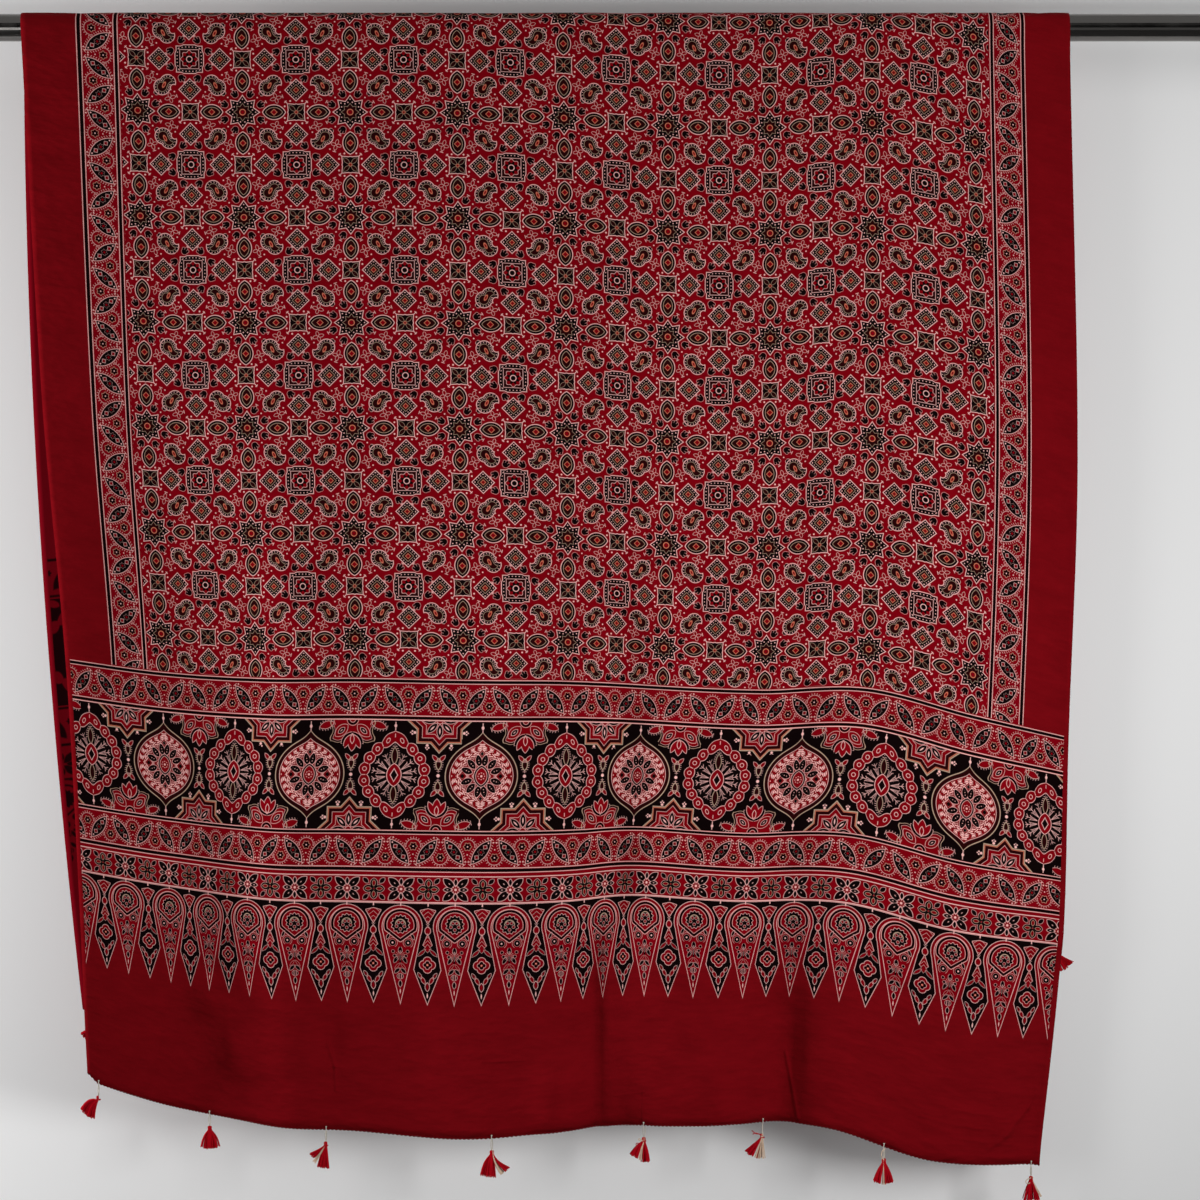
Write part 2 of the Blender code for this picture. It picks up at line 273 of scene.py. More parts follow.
# Leaves and sprigs round a medallion's heart, as angles from the line down the print
FIRST_LEAF = math.radians(11.5)
STEP_OF_LEAVES = math.radians(29.3)
LEAVES_END = math.radians(84.0)
FIRST_SPRIG = math.radians(25.5)
STEP_OF_SPRIGS = math.radians(26.5)

# Cloth grid: a tile of the print has this many strips each way
CELLS_EACH_WAY = 12
STRIP = 2 * STAR_HALF_PITCH / CELLS_EACH_WAY
ROW = 2 * ROW_HALF_PITCH / CELLS_EACH_WAY
FABRIC_THICKNESS = 0.0005

# Dyes of the ground and of the ends, and the two strongest inks
FIELD_RED = (0.186, 0.0007, 0.0048)
PLAIN_RED = (0.156, 0.0025, 0.0050)
DEEP_BLACK = (0.0040, 0.0016, 0.0018)
CREAM = (0.850, 0.460, 0.430)

# Inks in the order in which they lie on the red ground
INKS = {
    "ground": FIELD_RED,
    "black": DEEP_BLACK,
    "maroon": (0.0190, 0.0018, 0.0022),
    "red": (0.190, 0.0008, 0.0044),
    "olive": (0.480, 0.320, 0.230),
    "orange": (0.640, 0.170, 0.100),
    "cream": CREAM,
    "top_black": DEEP_BLACK,
    "top_red": (0.205, 0.0009, 0.0048),
    "top_cream": CREAM,
}
YARNS = {"red": (0.42, 0.0040, 0.0110), "cream": (0.62, 0.46, 0.34)}
THREAD = (0.50, 0.46, 0.40)
HEM_RED = (0.100, 0.0010, 0.0030)
REVERSE_RED = (0.150, 0.0016, 0.0060)
REVERSE_DARK = (0.012, 0.0013, 0.0022)
CHROME = (0.17, 0.162, 0.154)

# How light the dye is where it is darkest, and how much lighter it gets in broad clouds
# and along fine streaks across the cloth, where a sheen is painted
DARKEST_DYE = 0.75
DYE_CLOUDS = 0.34
SHEEN_STREAKS = 0.16

# One turn of a wave for each print unit, as the threads of the weave run
WEAVE_TURN = 6.28

CAMERA_LENS = 93.66
CAMERA_PLACE = (0.700, -3.215, -0.5894)
WALL_WHITE = (0.86, 0.86, 0.86)
FLOOR_GREY = (0.16, 0.16, 0.16)
ROOM_DARK = (0.02, 0.02, 0.02)

# How far each ink spread past its drawn outline, or shrank back from it
INK_SPREAD = {
    "black": 0.10, "olive": -0.10, "orange": -0.10, "cream": -0.14, "top_cream": -0.12,
}


def smooth_curve(places, values, at):
    """Value at one place of the smooth curve through the given places."""
    last = len(places) - 1
    at = min(max(at, places[0]), places[last])
    i = 0
    while i < last - 1 and at > places[i + 1]:
        i += 1

    def slope(k):
        low, high = max(k - 1, 0), min(k + 1, last)
        return (values[high] - values[low]) / (places[high] - places[low])

    span = places[i + 1] - places[i]
    t = (at - places[i]) / span
    rise = values[i + 1] - values[i]
    start, end = slope(i) * span, slope(i + 1) * span
    return (
        values[i]
        + start * t
        + (3 * rise - 2 * start - end) * t * t
        + (start + end - 2 * rise) * t ** 3
    )


def strip_value(across, column):
    places = [strip.across * MM for strip in STRIPS]
    return smooth_curve(places, [getattr(strip, column) * MM for strip in STRIPS], across)


def smooth_step(t):
    t = min(max(t, 0.0), 1.0)
    return t * t * (3 - 2 * t)


def fold_depth(folds, across, along):
    places = [0.0, FRONT_MIDDLE, FRONT_BORDER, FRONT_HEM]
    depth = 0.0
    for fold in folds:
        reach = (across - fold.across * MM) / (fold.half_width * MM)
        heights = [0.0, fold.middle * MM, fold.border * MM, fold.hem * MM]
        depth += math.exp(-reach * reach) * smooth_curve(places, heights, along)
    return depth * smooth_step((along - FOLD_START) / FOLD_GROWTH)


def soft_creases(across, along):
    depth = 0.0
    for crease in SOFT_CREASES:
        aside = across - crease.across * MM
        reach = aside / ((crease.left if aside < 0 else crease.right) * MM)
        ramp = min(0.06, (crease.end - crease.start) * MM / 2.5)
        down = smooth_step((along - crease.start * MM) / ramp)
        down *= smooth_step((crease.end * MM - along) / ramp)
        depth += math.exp(-reach * reach) * crease.height * MM * down
    return depth


def hang(across, along):
    """Where a place of the flat cloth is when it hangs: the middle of its thickness."""
    arc = along + strip_value(across, "slip")
    angle = min(max(arc / WRAP_RADIUS, -math.pi / 2), math.pi / 2)
    fall = max(abs(arc) - QUARTER_WRAP, 0.0)
    y = -WRAP_RADIUS * math.sin(angle)
    z = WRAP_RADIUS * math.cos(angle) - fall
    if arc >= 0:
        return front_drop(across, along, y, z)
    return back_drop(across, along, fall, y, z)


def front_drop(across, along, y, z):
    places = [0.0, FRONT_MIDDLE, FRONT_BORDER, FRONT_DROPS, FRONT_HEM]
    columns = ["rail", "middle", "border", "drops", "hem"]
    x = smooth_curve(places, [strip_value(across, name) for name in columns], along)
    columns = ["lift_border", "lift_drops", "lift_hem"]
    lifts = [0.0, 0.0] + [strip_value(across, name) for name in columns]
    z += smooth_curve(places, lifts, along)
    corner = smooth_step((CORNER_START - across) / CORNER_WIDTH)
    z += CORNER_LIFT * corner * smooth_step((along - CORNER_TOP) / CORNER_HEIGHT)
    bulge = FRONT_BULGE * smooth_step((along - FOLD_START) / FRONT_HEM)
    depth = fold_depth(FRONT_FOLDS, across, along) + soft_creases(across, along)
    return Vector((x, y - bulge - depth, z))


def back_drop(across, along, fall, y, z):
    down = (fall / abs(BACK_HEM)) ** 2
    side = across / CLOTH_WIDTH + 0.5
    shift = BACK_SHIFT_LEFT + (BACK_SHIFT_RIGHT - BACK_SHIFT_LEFT) * side
    lift = BACK_LIFT_LEFT + (BACK_LIFT_RIGHT - BACK_LIFT_LEFT) * side
    x = strip_value(across, "rail") + shift * down
    bulge = BACK_BULGE * smooth_step((fall - FOLD_START) / abs(BACK_HEM))
    depth = fold_depth(BACK_FOLDS, across, fall)
    return Vector((x, y + bulge + depth, z + lift * down))


class Measure:
    """A number that changes over the cloth, as a socket of the material being made."""

    tree = None

    def __init__(self, socket):
        self.socket = socket

    def __add__(self, other):
        return maths("ADD", self, other)

    def __sub__(self, other):
        return maths("SUBTRACT", self, other)

    def __rsub__(self, other):
        return maths("SUBTRACT", other, self)

    def __mul__(self, other):
        return maths("MULTIPLY", self, other)

    def __neg__(self):
        return maths("MULTIPLY", self, -1.0)

    def __truediv__(self, other):
        return maths("DIVIDE", self, other)

    __radd__ = __add__
    __rmul__ = __mul__


def maths(operation, *values, clamp=False):
    step = Measure.tree.nodes.new("ShaderNodeMath")
    step.operation = operation
    step.use_clamp = clamp
    for socket, value in zip(step.inputs, values):
        if isinstance(value, Measure):
            Measure.tree.links.new(value.socket, socket)
        else:
            socket.default_value = value
    return Measure(step.outputs[0])


def least(first, *others):
    for other in others:
        first = maths("MINIMUM", first, other)
    return first


def most(first, *others):
    for other in others:
        first = maths("MAXIMUM", first, other)
    return first


def size(value):
    return maths("ABSOLUTE", value)


def length(x, y):
    return maths("SQRT", maths("MULTIPLY_ADD", x, x, y * y))


def fold_back(value, half_pitch):
    """Distance to the nearest multiple of twice the half pitch."""
    return maths("PINGPONG", value, half_pitch)


def clamped(value):
    return maths("ADD", value, 0.0, clamp=True)


def angle_of(x, y):
    """The angle from the line down the print, for x across and y down."""
    return maths("ARCTAN2", x, y)


def cosine(value):
    return maths("COSINE", value)


def turned(x, y, degrees):
    """x and y measured along and across a line at that angle."""
    c, s = math.cos(math.radians(degrees)), math.sin(math.radians(degrees))
    return x * c + y * s, y * c - x * s


def line_ink(distance, half_width):
    """A line of that half width along an outline."""
    return size(distance) - half_width


def lens(x, y, half_length, half_height):
    """Distance from a pointed oval, for x and y that are not negative."""
    radius = (half_length ** 2 + half_height ** 2) / (2 * half_height)
    return length(x, y + (radius - half_height)) - radius


def leaf_at(x, y, degrees, half_length, half_height):
    """Distance from a pointed oval whose long way lies at that angle."""
    along, aside = turned(x, y, degrees)
    return lens(size(along), size(aside), half_length, half_height)


def hairs(edge, middle, half_depth, run, half_step, half_width):
    """Short strokes across a band beside an outline."""
    return most(size(edge - middle) - half_depth, fold_back(run, half_step) - half_width)


def beads(aside, run, half_step, radius):
    """A row of dots."""
    return length(aside, fold_back(run, half_step)) - radius


def dots(x, y, radius, *middles):
    return least(*[length(x - across, y - down) for across, down in middles]) - radius


def square_tiles(u, v):
    """Places folded on the print's symmetry: both ways, then about the diagonal."""
    x = fold_back(u, STAR_HALF_PITCH)
    y = fold_back(v, ROW_HALF_PITCH) * (STAR_HALF_PITCH / ROW_HALF_PITCH)
    return x, y, most(x, y), least(x, y)


def gather(layers):
    """Joins the inks of several motifs: each ink's distance is the least of them."""
    together = {}
    for layer in layers:
        for ink, distance in layer.items():
            together[ink] = least(together[ink], distance) if ink in together else distance
    return together


def star(x, y, a, b):
    tip = a * 0.592 + b * 0.806 - 10.24
    side = a * 0.983 - b * 0.181 - 9.86
    edge = least(tip, side)
    on_tip = maths("LESS_THAN", tip, side)
    run = (a * 0.806 - b * 0.592) * on_tip + (b * 0.983 + a * 0.181) * (1.0 - on_tip)
    row = beads(edge + 2.45, run - 10.7, 1.95, 0.72)
    r = length(a, b)
    return {
        "black": edge,
        "maroon": edge + 5.1,
        "red": r - 2.0,
        "olive": line_ink(edge + 4.9, 0.22),
        "orange": line_ink(r - 2.9, 0.50),
        "cream": least(line_ink(edge, 0.50), row),
    }


def eye(x, y, a, b):
    p = size(a - 31.8)
    edge = lens(p, b, 11.6, 7.6)
    core = (p + b) * DIAGONAL
    return {
        "black": edge,
        "maroon": edge + 2.9,
        "red": core - 1.9,
        "olive": line_ink(edge + 2.7, 0.30),
        "orange": line_ink(core - 2.2, 0.36),
        "cream": line_ink(edge, 0.50),
    }


def small_square(x, y, a, b):
    p, q = STAR_HALF_PITCH - a, b
    m, n = most(p, q), least(p, q)
    edge = m - n * 0.09 - 7.9 - 0.5 * clamped(1.6 - n)
    along, aside = (p + q) * DIAGONAL, size(p - q) * DIAGONAL
    petal = lens(size(along - 5.6), aside, 4.3, 1.9)
    dot = dots(m, n, 1.0, (11.5, 6.0))
    stem = most(size(along - 14.3) - 1.9, aside - 0.5)
    arms = most(size(along - 15.2) - 0.5, aside - 1.6)
    return {
        "black": edge,
        "maroon": petal,
        "red": along - 0.9,
        "olive": line_ink(petal, 0.20),
        "orange": line_ink(along - 1.3, 0.32),
        "cream": least(line_ink(edge, 0.50), dot, stem, arms),
    }


def diamond(x, y, a, b):
    p, q = STAR_HALF_PITCH - a, size(b - 22.8)
    edge = (p + q) * DIAGONAL
    row = beads(edge - 6.1, (p - q) * DIAGONAL, 1.40, 0.58)
    return {
        "black": edge - 8.2,
        "maroon": edge - 4.0,
        "red": edge - 1.4,
        "olive": line_ink(edge - 4.0, 0.26),
        "orange": line_ink(edge - 1.8, 0.38),
        "cream": least(line_ink(edge - 8.0, 0.50), row),
    }


def centre_square(x, y, a, b):
    p, q = STAR_HALF_PITCH - a, STAR_HALF_PITCH - b
    m, n = most(p, q), least(p, q)
    edge = m - 13.4 - 1.3 * clamped((8.8 - n) * 0.35)
    row = beads(edge + 2.2, n, 1.75, 0.62)
    r = length(p, q)
    wave = cosine(angle_of(p, q) * 8.0)
    lobes = r - 8.2 - 0.9 * wave
    return {
        "black": edge,
        "maroon": m - 9.6,
        "red": lobes,
        "cream": least(
            line_ink(edge, 0.50), row, line_ink(lobes, 0.36), line_ink(m - 9.8, 0.36),
        ),
        "top_black": r - 5.6 + 1.2 * wave,
        "top_cream": line_ink(r - 2.9, 0.5),
    }


def bud(along, aside, reach):
    """A dark three-pointed bud, with its sprig on the far side."""
    cup = length(along + 0.9, aside) - 2.9
    points = least(
        lens(size(along - 0.9), aside, 3.4, 1.2), length(along - 0.9, aside - 2.2) - 1.3,
    )
    edge = least(cup, points)
    cuts = most(size(aside - 1.15 - along * 0.2) - 0.20, 0.6 - along)
    stem = most(size(along - 4.9) - 1.3, aside - 0.38)
    fork = most(size(along - reach) - 0.42, aside - 1.7)
    return {
        "black": edge,
        "cream": least(line_ink(edge - 0.5, 0.20), most(cuts, edge - 0.4), stem, fork),
    }


def star_bud(x, y, a, b):
    along, aside = turned(a - 18.6, b - 7.9, 28.0)
    return bud(along, size(aside), 5.9)


def square_bud(x, y, a, b):
    p, q = STAR_HALF_PITCH - a, STAR_HALF_PITCH - b
    m, n = most(p, q), least(p, q)
    along, aside = turned(m - 19.7, n - 8.0, -35.0)
    return bud(along, size(aside), 5.0)


def cross_flower(x, y, a, b):
    along, aside = turned(a - 33.8, b - 14.2, 16.4)
    sprig = least(
        most(size(along - 6.2) - 1.3, size(aside) - 0.36),
        most(size(along - 7.1) - 0.42, size(aside) - 1.8),
    )
    l, w = size(along), size(aside)
    petals = least(lens(size(l - 3.0), w, 2.9, 1.6), lens(size(w - 2.8), l, 2.6, 1.5))
    return {
        "red": petals,
        "cream": least(line_ink(petals, 0.27), sprig),
    }


def loose_dots(x, y, a, b):
    return {"cream": dots(a, b, 0.85, (38.1, 20.6), (15.0, 15.0))}


def paisley(x, y, a, b):
    head = length(x - 25.4, y - 25.2) - 8.2
    tail = length(x - 31.5, y - 29.9) - 8.0
    bite = length(x - 37.7, y - 24.4) - 3.7
    edge = most(least(head, tail), -bite)
    r = length(x - 27.7, y - 27.7)
    ray = fold_back(angle_of(x - 27.7, y - 27.7), math.pi / 20) * r
    dashes = most(ray - 0.40, size(edge + 1.55) - 0.7)
    along, aside = turned(x - 27.5, y - 27.4, 64.0)
    core = length(along * 0.45, aside) - 1.25
    knob = length(x - 19.5, y - 19.3) - 2.6
    return {
        "black": least(edge, knob),
        "maroon": edge + 3.5,
        "red": core,
        "olive": line_ink(edge + 3.3, 0.26),
        "orange": line_ink(core, 0.38),
        "cream": least(line_ink(edge, 0.50), line_ink(knob, 0.30), dashes),
    }


def leaf_row(s, t, pitch):
    """A row of tilted leaves with small flowers between, along s and across t."""
    s = fold_back(s, pitch)
    along, aside = turned(s - pitch / 2, t, -51.8)
    far, wide = size(along), size(aside)
    edge = lens(far, wide, 15.2, 5.9)
    fringe = hairs(edge, 1.9, 1.0, along, 1.2, 0.42)
    r = length(far, wide)
    heart = (size(far - 6.6) + wide) * DIAGONAL
    flower_s, flower_t = least(s, pitch - s), most(t, -t) - 5.4
    on_top = maths("GREATER_THAN", (s - pitch / 2) * t, 0.0)
    flower = length(flower_s, flower_t) + (1.0 - on_top) * OUT_OF_SIGHT
    spoke = angle_of(flower_s, flower_t)
    petals = flower - 2.9 + 0.5 * cosine(spoke * 6.0)
    outside = 5.2 - size(t)
    rays = fold_back(spoke, math.pi / 20) * 8.5 - 0.42
    arch = most(size(flower - 8.7) - 0.95, rays, outside)
    rim = most(line_ink(flower - 7.3, 0.42), outside)
    specks = least(
        length(flower_s, size(t) - 2.6) + on_top * OUT_OF_SIGHT, length(far - 15.2, wide - 3.6),
        length(flower_s - 3.4, size(t) - 12.6) + on_top * OUT_OF_SIGHT,
    )
    return {
        "black": least(edge, petals),
        "red": r - 1.2,
        "olive": line_ink(petals - 0.8, 0.28),
        "cream": least(
            line_ink(edge, 0.5), fringe, arch, rim, specks - 0.85,
            length(far - 11.6, wide) - 0.95,
            line_ink(r - 2.8 + 0.5 * cosine(angle_of(far, wide) * 6.0), 0.22),
            flower - 0.9,
        ),
        "top_red": heart - 1.3,
        "top_cream": line_ink(heart - 1.7, 0.38),
    }


def line_inks(lines, place):
    """Straight lines across the cloth, at places measured down or across it."""
    together = {}
    for ink, middle, half_width in lines:
        line = line_ink(place - middle, half_width)
        together[ink] = least(together[ink], line) if ink in together else line
    return together


def near_lines(lines, low, high):
    return [line for line in lines if low <= line[1] <= high]


def side_border(u, v):
    away = size(u)
    return gather([
        line_inks(SIDE_LINES, away),
        {"ground": away - SIDE_LINES[-1][1]},
        leaf_row(v, away - SIDE_BORDER_MIDDLE, ROW_HALF_PITCH / 2),
    ])


def down_the_border(v):
    """How far a place lies past the first line of the end border nearest to it."""
    return most(v - FRONT_PALLU, BACK_PALLU - v)


def upper_leaves(u, v):
    w = down_the_border(v)
    lines = line_inks(near_lines(END_LINES, -5, 40), w)
    return gather([lines, leaf_row(u, w - LEAVES_MIDDLE, DROP_HALF_PITCH)])


def lower_leaves(u, v):
    w = down_the_border(v)
    lines = line_inks(near_lines(END_LINES, 145, 192), w)
    row = leaf_row(u - LOWER_LEAVES_SHIFT, w - LOWER_LEAVES_MIDDLE, DROP_HALF_PITCH)
    return gather([lines, row])


def medallion_places(u, v):
    return fold_back(u, MEDALLION_STEP), size(down_the_border(v) - MEDALLIONS_MIDDLE)


def ogee_edge(x, y, wide, high, middle, tip_sharpness):
    """A round medallion drawn out to a point above and below, by its polar outline."""
    r = length(x, y)
    aside = x / r
    aside = aside * aside
    point = maths("EXPONENT", x / (y + 0.01) * -tip_sharpness)
    return r - middle - (wide - middle) * aside * aside - (high - middle) * point, r, point


def ogee_rim(x, y):
    edge, r, point = ogee_edge(x, y, 36.4, 43.6, 34.6, 6.3)
    inner = edge + 4.4 + point * 3.4
    tassel = least(length(x * 1.3, y - 48.0) - 2.0, most(x - 0.6, size(y - 48.0) - 5.0))
    return inner, r, {
        "maroon": edge + 0.8,
        "red": inner,
        "olive": line_ink(edge, 0.55),
        "cream": least(line_ink(inner, 0.5), tassel),
    }


def ogee_medallion(u, v):
    s, y = medallion_places(u, v)
    x = MEDALLION_STEP - s
    inner, r, rim = ogee_rim(x, y)
    angle = angle_of(x, y)
    curl = cosine(angle * 24.0 + cosine(r * 1.25) * 2.4) + cosine(r * 1.55 + 1.0) * 0.9
    scrolls = most(1.15 - size(curl) * 1.5, inner + 1.2, 20.5 - r)
    swing = fold_back(least(angle, LEAVES_END) - FIRST_LEAF, STEP_OF_LEAVES / 2) * r
    leaf = lens(size(r - 15.8), swing, 6.0, 3.1)
    seeds = most(length(fold_back(r - 13.6, 1.35), swing) - 0.6, size(r - 15.8) - 2.9)
    gem = least(x * 1.2 + size(y - 22.4), size(x - 19.2) + y * 0.9) * DIAGONAL
    heart = lens(y, x, 11.0, 7.8)
    petals = line_ink(r - 3.3, 0.5)
    return gather([rim, {
        "cream": least(
            scrolls, line_ink(leaf - 0.3, 0.45), line_ink(leaf - 2.1, 0.42),
            line_ink(gem - 3.6, 0.5),
        ),
        "top_black": least(leaf, gem - 1.7, heart),
        "top_red": least(heart + 2.2, most(gem - 3.0, 1.9 - gem)),
        "top_cream": least(
            seeds, line_ink(heart, 0.42), line_ink(heart + 2.1, 0.42),
            most(petals, -cosine(angle * 8.0) - 0.2), r - 1.3,
        ),
    }])


def scallop_rim(x, y):
    """A band of round lobes, each with its ring, drawn out to a point above and below."""
    edge, r, point = ogee_edge(x, y, 30.3, 39.4, 29.6, 3.2)
    angle = angle_of(x, y)
    beat = math.pi / 16
    swing = fold_back(angle, beat) * r
    aside = beat * r - swing
    tip = point * point
    band = size(edge) + aside * aside * 0.08 - 5.5 - tip * tip * 4.6
    finial = least(length(x * 1.3, y - 49.0) - 1.9, most(x - 0.6, size(y - 48.5) - 4.5))
    return r, angle, {
        "red": band,
        "cream": least(
            line_ink(band, 0.5), line_ink(length(edge, aside) - 2.0, 0.5),
            most(swing - 0.5, size(edge) - 2.0), finial,
        ),
    }


def scalloped_medallion(u, v):
    x, y = medallion_places(u, v)
    r, angle, rim = scallop_rim(x, y)
    swing = fold_back(angle - FIRST_SPRIG, STEP_OF_SPRIGS / 2) * r
    beyond_club = 0.24 - angle
    stem = most(swing - 0.45, size(r - 15.5) - 7.0, beyond_club)
    barb = fold_back(r - swing * 0.9 - 15.5, 2.1)
    barbs = most(barb - 0.5, swing - 3.0, size(r - 19.6) - 3.6, beyond_club)
    vees = most(line_ink(swing - (r - 8.5) * 0.22, 0.42), size(r - 13.0) - 4.0, beyond_club)
    club = lens(size(y - 19.0), x, 8.6, 2.9)
    club_hairs = most(hairs(club, 1.6, 0.9, y, 1.1, 0.4), 17.0 - y)
    gem = lens(y, x, 11.4, 7.2)
    core = (x * 1.7 + y) * 0.5 - 2.6
    return gather([rim, {
        "maroon": club,
        "olive": line_ink(club, 0.4),
        "cream": least(stem, barbs, club_hairs, vees),
        "top_black": least(gem - 0.8, core),
        "top_red": most(gem, 0.8 - core),
        "top_cream": least(line_ink(gem, 0.5), line_ink(core - 0.6, 0.5)),
    }])


def between_medallions(u, v):
    """The half stars, half palmettes and bud chains, with the medallions' rims."""
    w = down_the_border(v) - MEDALLIONS_MIDDLE
    y = size(w)
    s = fold_back(u, MEDALLION_STEP)
    turn = fold_back(u + MEDALLION_STEP / 2, MEDALLION_STEP)
    on_star = maths("LESS_THAN", (turn - MEDALLION_STEP / 2) * w, 0.0)
    x = size(s - MEDALLION_STEP / 2)
    inwards = 54.6 - y
    return gather([
        ogee_rim(MEDALLION_STEP - s, y)[-1], scallop_rim(s, y)[-1],
        half_star(x, inwards, on_star), half_palmette(x, inwards, on_star), bud_chain(x, y),
    ])


def half_star(x, y, shown):
    a, b = most(x, y), least(x, y)
    hide = (1.0 - shown) * OUT_OF_SIGHT
    edge = least(a * 0.672 + b * 0.741 - 21.5, a - 22.4) + hide
    r = length(x, y)
    swing = fold_back(angle_of(x, y), math.pi / 8) * r
    petal = lens(size(r - 10.5), swing, 7.0, 3.0) + hide
    tuft = least(
        length(a - 24.6, b - 12.0), length(a - 27.0, b - 10.6) + 0.5,
        length(a - 27.0, b - 13.4) + 0.5, length(a - 28.6, b - 12.0) + 0.7,
    ) + hide
    return {
        "maroon": edge,
        "red": edge + 5.2,
        "olive": line_ink(edge, 0.6),
        "orange": line_ink(edge + 1.2, 0.45),
        "cream": least(line_ink(edge + 5.2, 0.42), line_ink(edge + 9.0, 0.42), tuft - 1.6),
        "top_black": petal,
        "top_cream": least(line_ink(petal, 0.42), petal + 2.1, line_ink(r + hide - 3.0, 0.45)),
    }


def half_palmette(x, y, hidden):
    hide = hidden * OUT_OF_SIGHT
    wave = 1.6 * cosine((y - 19.0) * 0.40) + 1.3 * cosine((x - 15.0) * 0.42)
    block = most(x - 22.6 - wave, y - 21.6 - wave) + hide
    along, aside = turned(x - 11.4, y - 11.0, 42.0)
    oval = lens(size(along), size(aside), 4.4, 2.3) + hide
    lobe = lens(size(along), size(aside), 8.6, 5.0) + hide
    flame_along, flame_aside = turned(x - 27.0, y - 5.5, 18.0)
    flame = lens(size(flame_along), size(flame_aside), 8.0, 3.6) + hide
    fringe = hairs(flame, 1.3, 0.9, flame_along, 1.4, 0.45)
    arch = length(x, y - 24.0)
    bowl = most(line_ink(arch - 10.0, 1.5), y - 24.0) + hide
    middle = lens(size(y - 22.8), x, 8.8, 4.2)
    tulip = least(middle, leaf_at(y - 22.0, x - 5.2, 26.0, 7.4, 2.8)) + hide
    seed = lens(size(y - 19.6), x, 4.6, 2.0) + hide
    foot = length(x, y) + hide
    return {
        "maroon": block,
        "red": least(block + 3.4, flame),
        "black": most(block + 0.6, -3.0 - block),
        "olive": line_ink(block, 0.45),
        "cream": least(
            line_ink(block + 3.4, 0.42), line_ink(lobe, 0.42), line_ink(bowl, 0.40),
            line_ink(flame, 0.45), fringe,
        ),
        "top_black": least(
            oval, bowl + 0.4, most(3.4 - foot, foot - 5.4), line_ink(tulip - 0.9, 0.6),
        ),
        "top_red": tulip,
        "top_cream": least(
            line_ink(tulip, 0.45), line_ink(seed, 0.5), line_ink(oval, 0.42), oval + 1.7,
            line_ink(foot - 6.0, 0.42), line_ink(foot - 2.9, 0.42),
        ),
    }


def bud_chain(x, y):
    dot = length(x, y) - 1.9
    drop = lens(size(y - 11.5), x, 5.8, 2.7)
    fringe = most(hairs(drop, 1.4, 0.9, y, 1.1, 0.4), y - 14.0)
    leaves = leaf_at(x - 3.5, y - 17.2, 48.0, 4.4, 1.9)
    stalk = most(x - 0.4, size(y - 4.5) - 1.5)
    return {
        "maroon": drop,
        "red": leaves,
        "olive": line_ink(drop, 0.5),
        "cream": least(dot, line_ink(leaves, 0.42), fringe, stalk),
    }


def flower_squares(u, v):
    """Dark six-petalled flowers and knots of four loops, in turn."""
    w = down_the_border(v)
    s = fold_back(u, SQUARE_PITCH)
    t = size(w - SQUARES_MIDDLE)
    lines = line_inks(near_lines(END_LINES, 186, 222), w)
    return gather([lines, petal_flower(s, t), loop_knot(SQUARE_PITCH - s, t)])


def petal_flower(x, y):
    side = lens(size(x - 8.0), y, 4.4, 2.3)
    corner = leaf_at(x - 6.8, y - 6.2, 41.0, 7.6, 3.8)
    upright = lens(size(y - 7.4), x, 3.6, 1.9)
    petals = least(side, corner, upright)
    pale = length((x - 8.2) * 0.5, y) - 0.6
    far_along, far_aside = turned(x - 6.4, y - 5.8, 41.0)
    pale = least(pale, length(far_along * 0.45, far_aside) - 0.6)
    r = length(x, y)
    seeds = length(r - 3.3, fold_back(angle_of(x, y), math.pi / 8) * 3.3) - 0.7
    return {
        "black": petals,
        "cream": least(line_ink(petals, 0.5), pale),
        "top_red": r - 3.8,
        "top_cream": least(seeds, r - 1.5, line_ink(r - 4.0, 0.36)),
    }


def loop_knot(x, y):
    a, b = most(x, y), least(x, y)
    loop = lens(size(a - 5.4), b, 5.2, 3.9)
    drop = lens(size(a - 5.6), b, 3.2, 1.7)
    corner = lens(size((a + b) * DIAGONAL - 11.6), (a - b) * DIAGONAL, 3.8, 2.3)
    return {
        "black": least(loop, corner),
        "red": drop,
        "olive": line_ink(drop, 0.24),
        "cream": line_ink(least(loop, corner), 0.38),
        "top_red": a + b - 1.0,
    }


def drop_places(u, v):
    """Places from a teardrop's middle, from a dark drop's and down, with the outlines."""
    x = fold_back(u, DROP_HALF_PITCH)
    q, t = DROP_HALF_PITCH - x, down_the_border(v) - DROPS_START
    return x, q, t, drop_outlines(x, q, t)


def drop_outlines(x, q, t):
    """The red teardrop, the dark drop between two of them, and the line above them."""
    round_head = length(x, t - 24.6)
    sides = x * 0.972 + (t - 102.2) * 0.236
    teardrop = least(round_head - 18.2, most(sides, 28.0 - t))
    past = t - 24.6
    flare = q - 5.45 - 0.19 * most(past, 0.0) + 3.0 * least(past, 0.0)
    dark = most(21.6 - round_head, flare, (q - (102.2 - t) * 0.392) * 0.92, 1.0 - t)
    return {
        "ground": least(teardrop, (t - 60.0) * 0.04),
        "black": dark,
        "cream": least(
            line_ink(teardrop, 0.55), line_ink(dark, 0.52),
            most(x - 0.8, size(t - 2.0) - 2.0), most(q - 0.8, size(t - 2.0) - 2.0),
            line_ink(t, 0.75),
        ),
    }


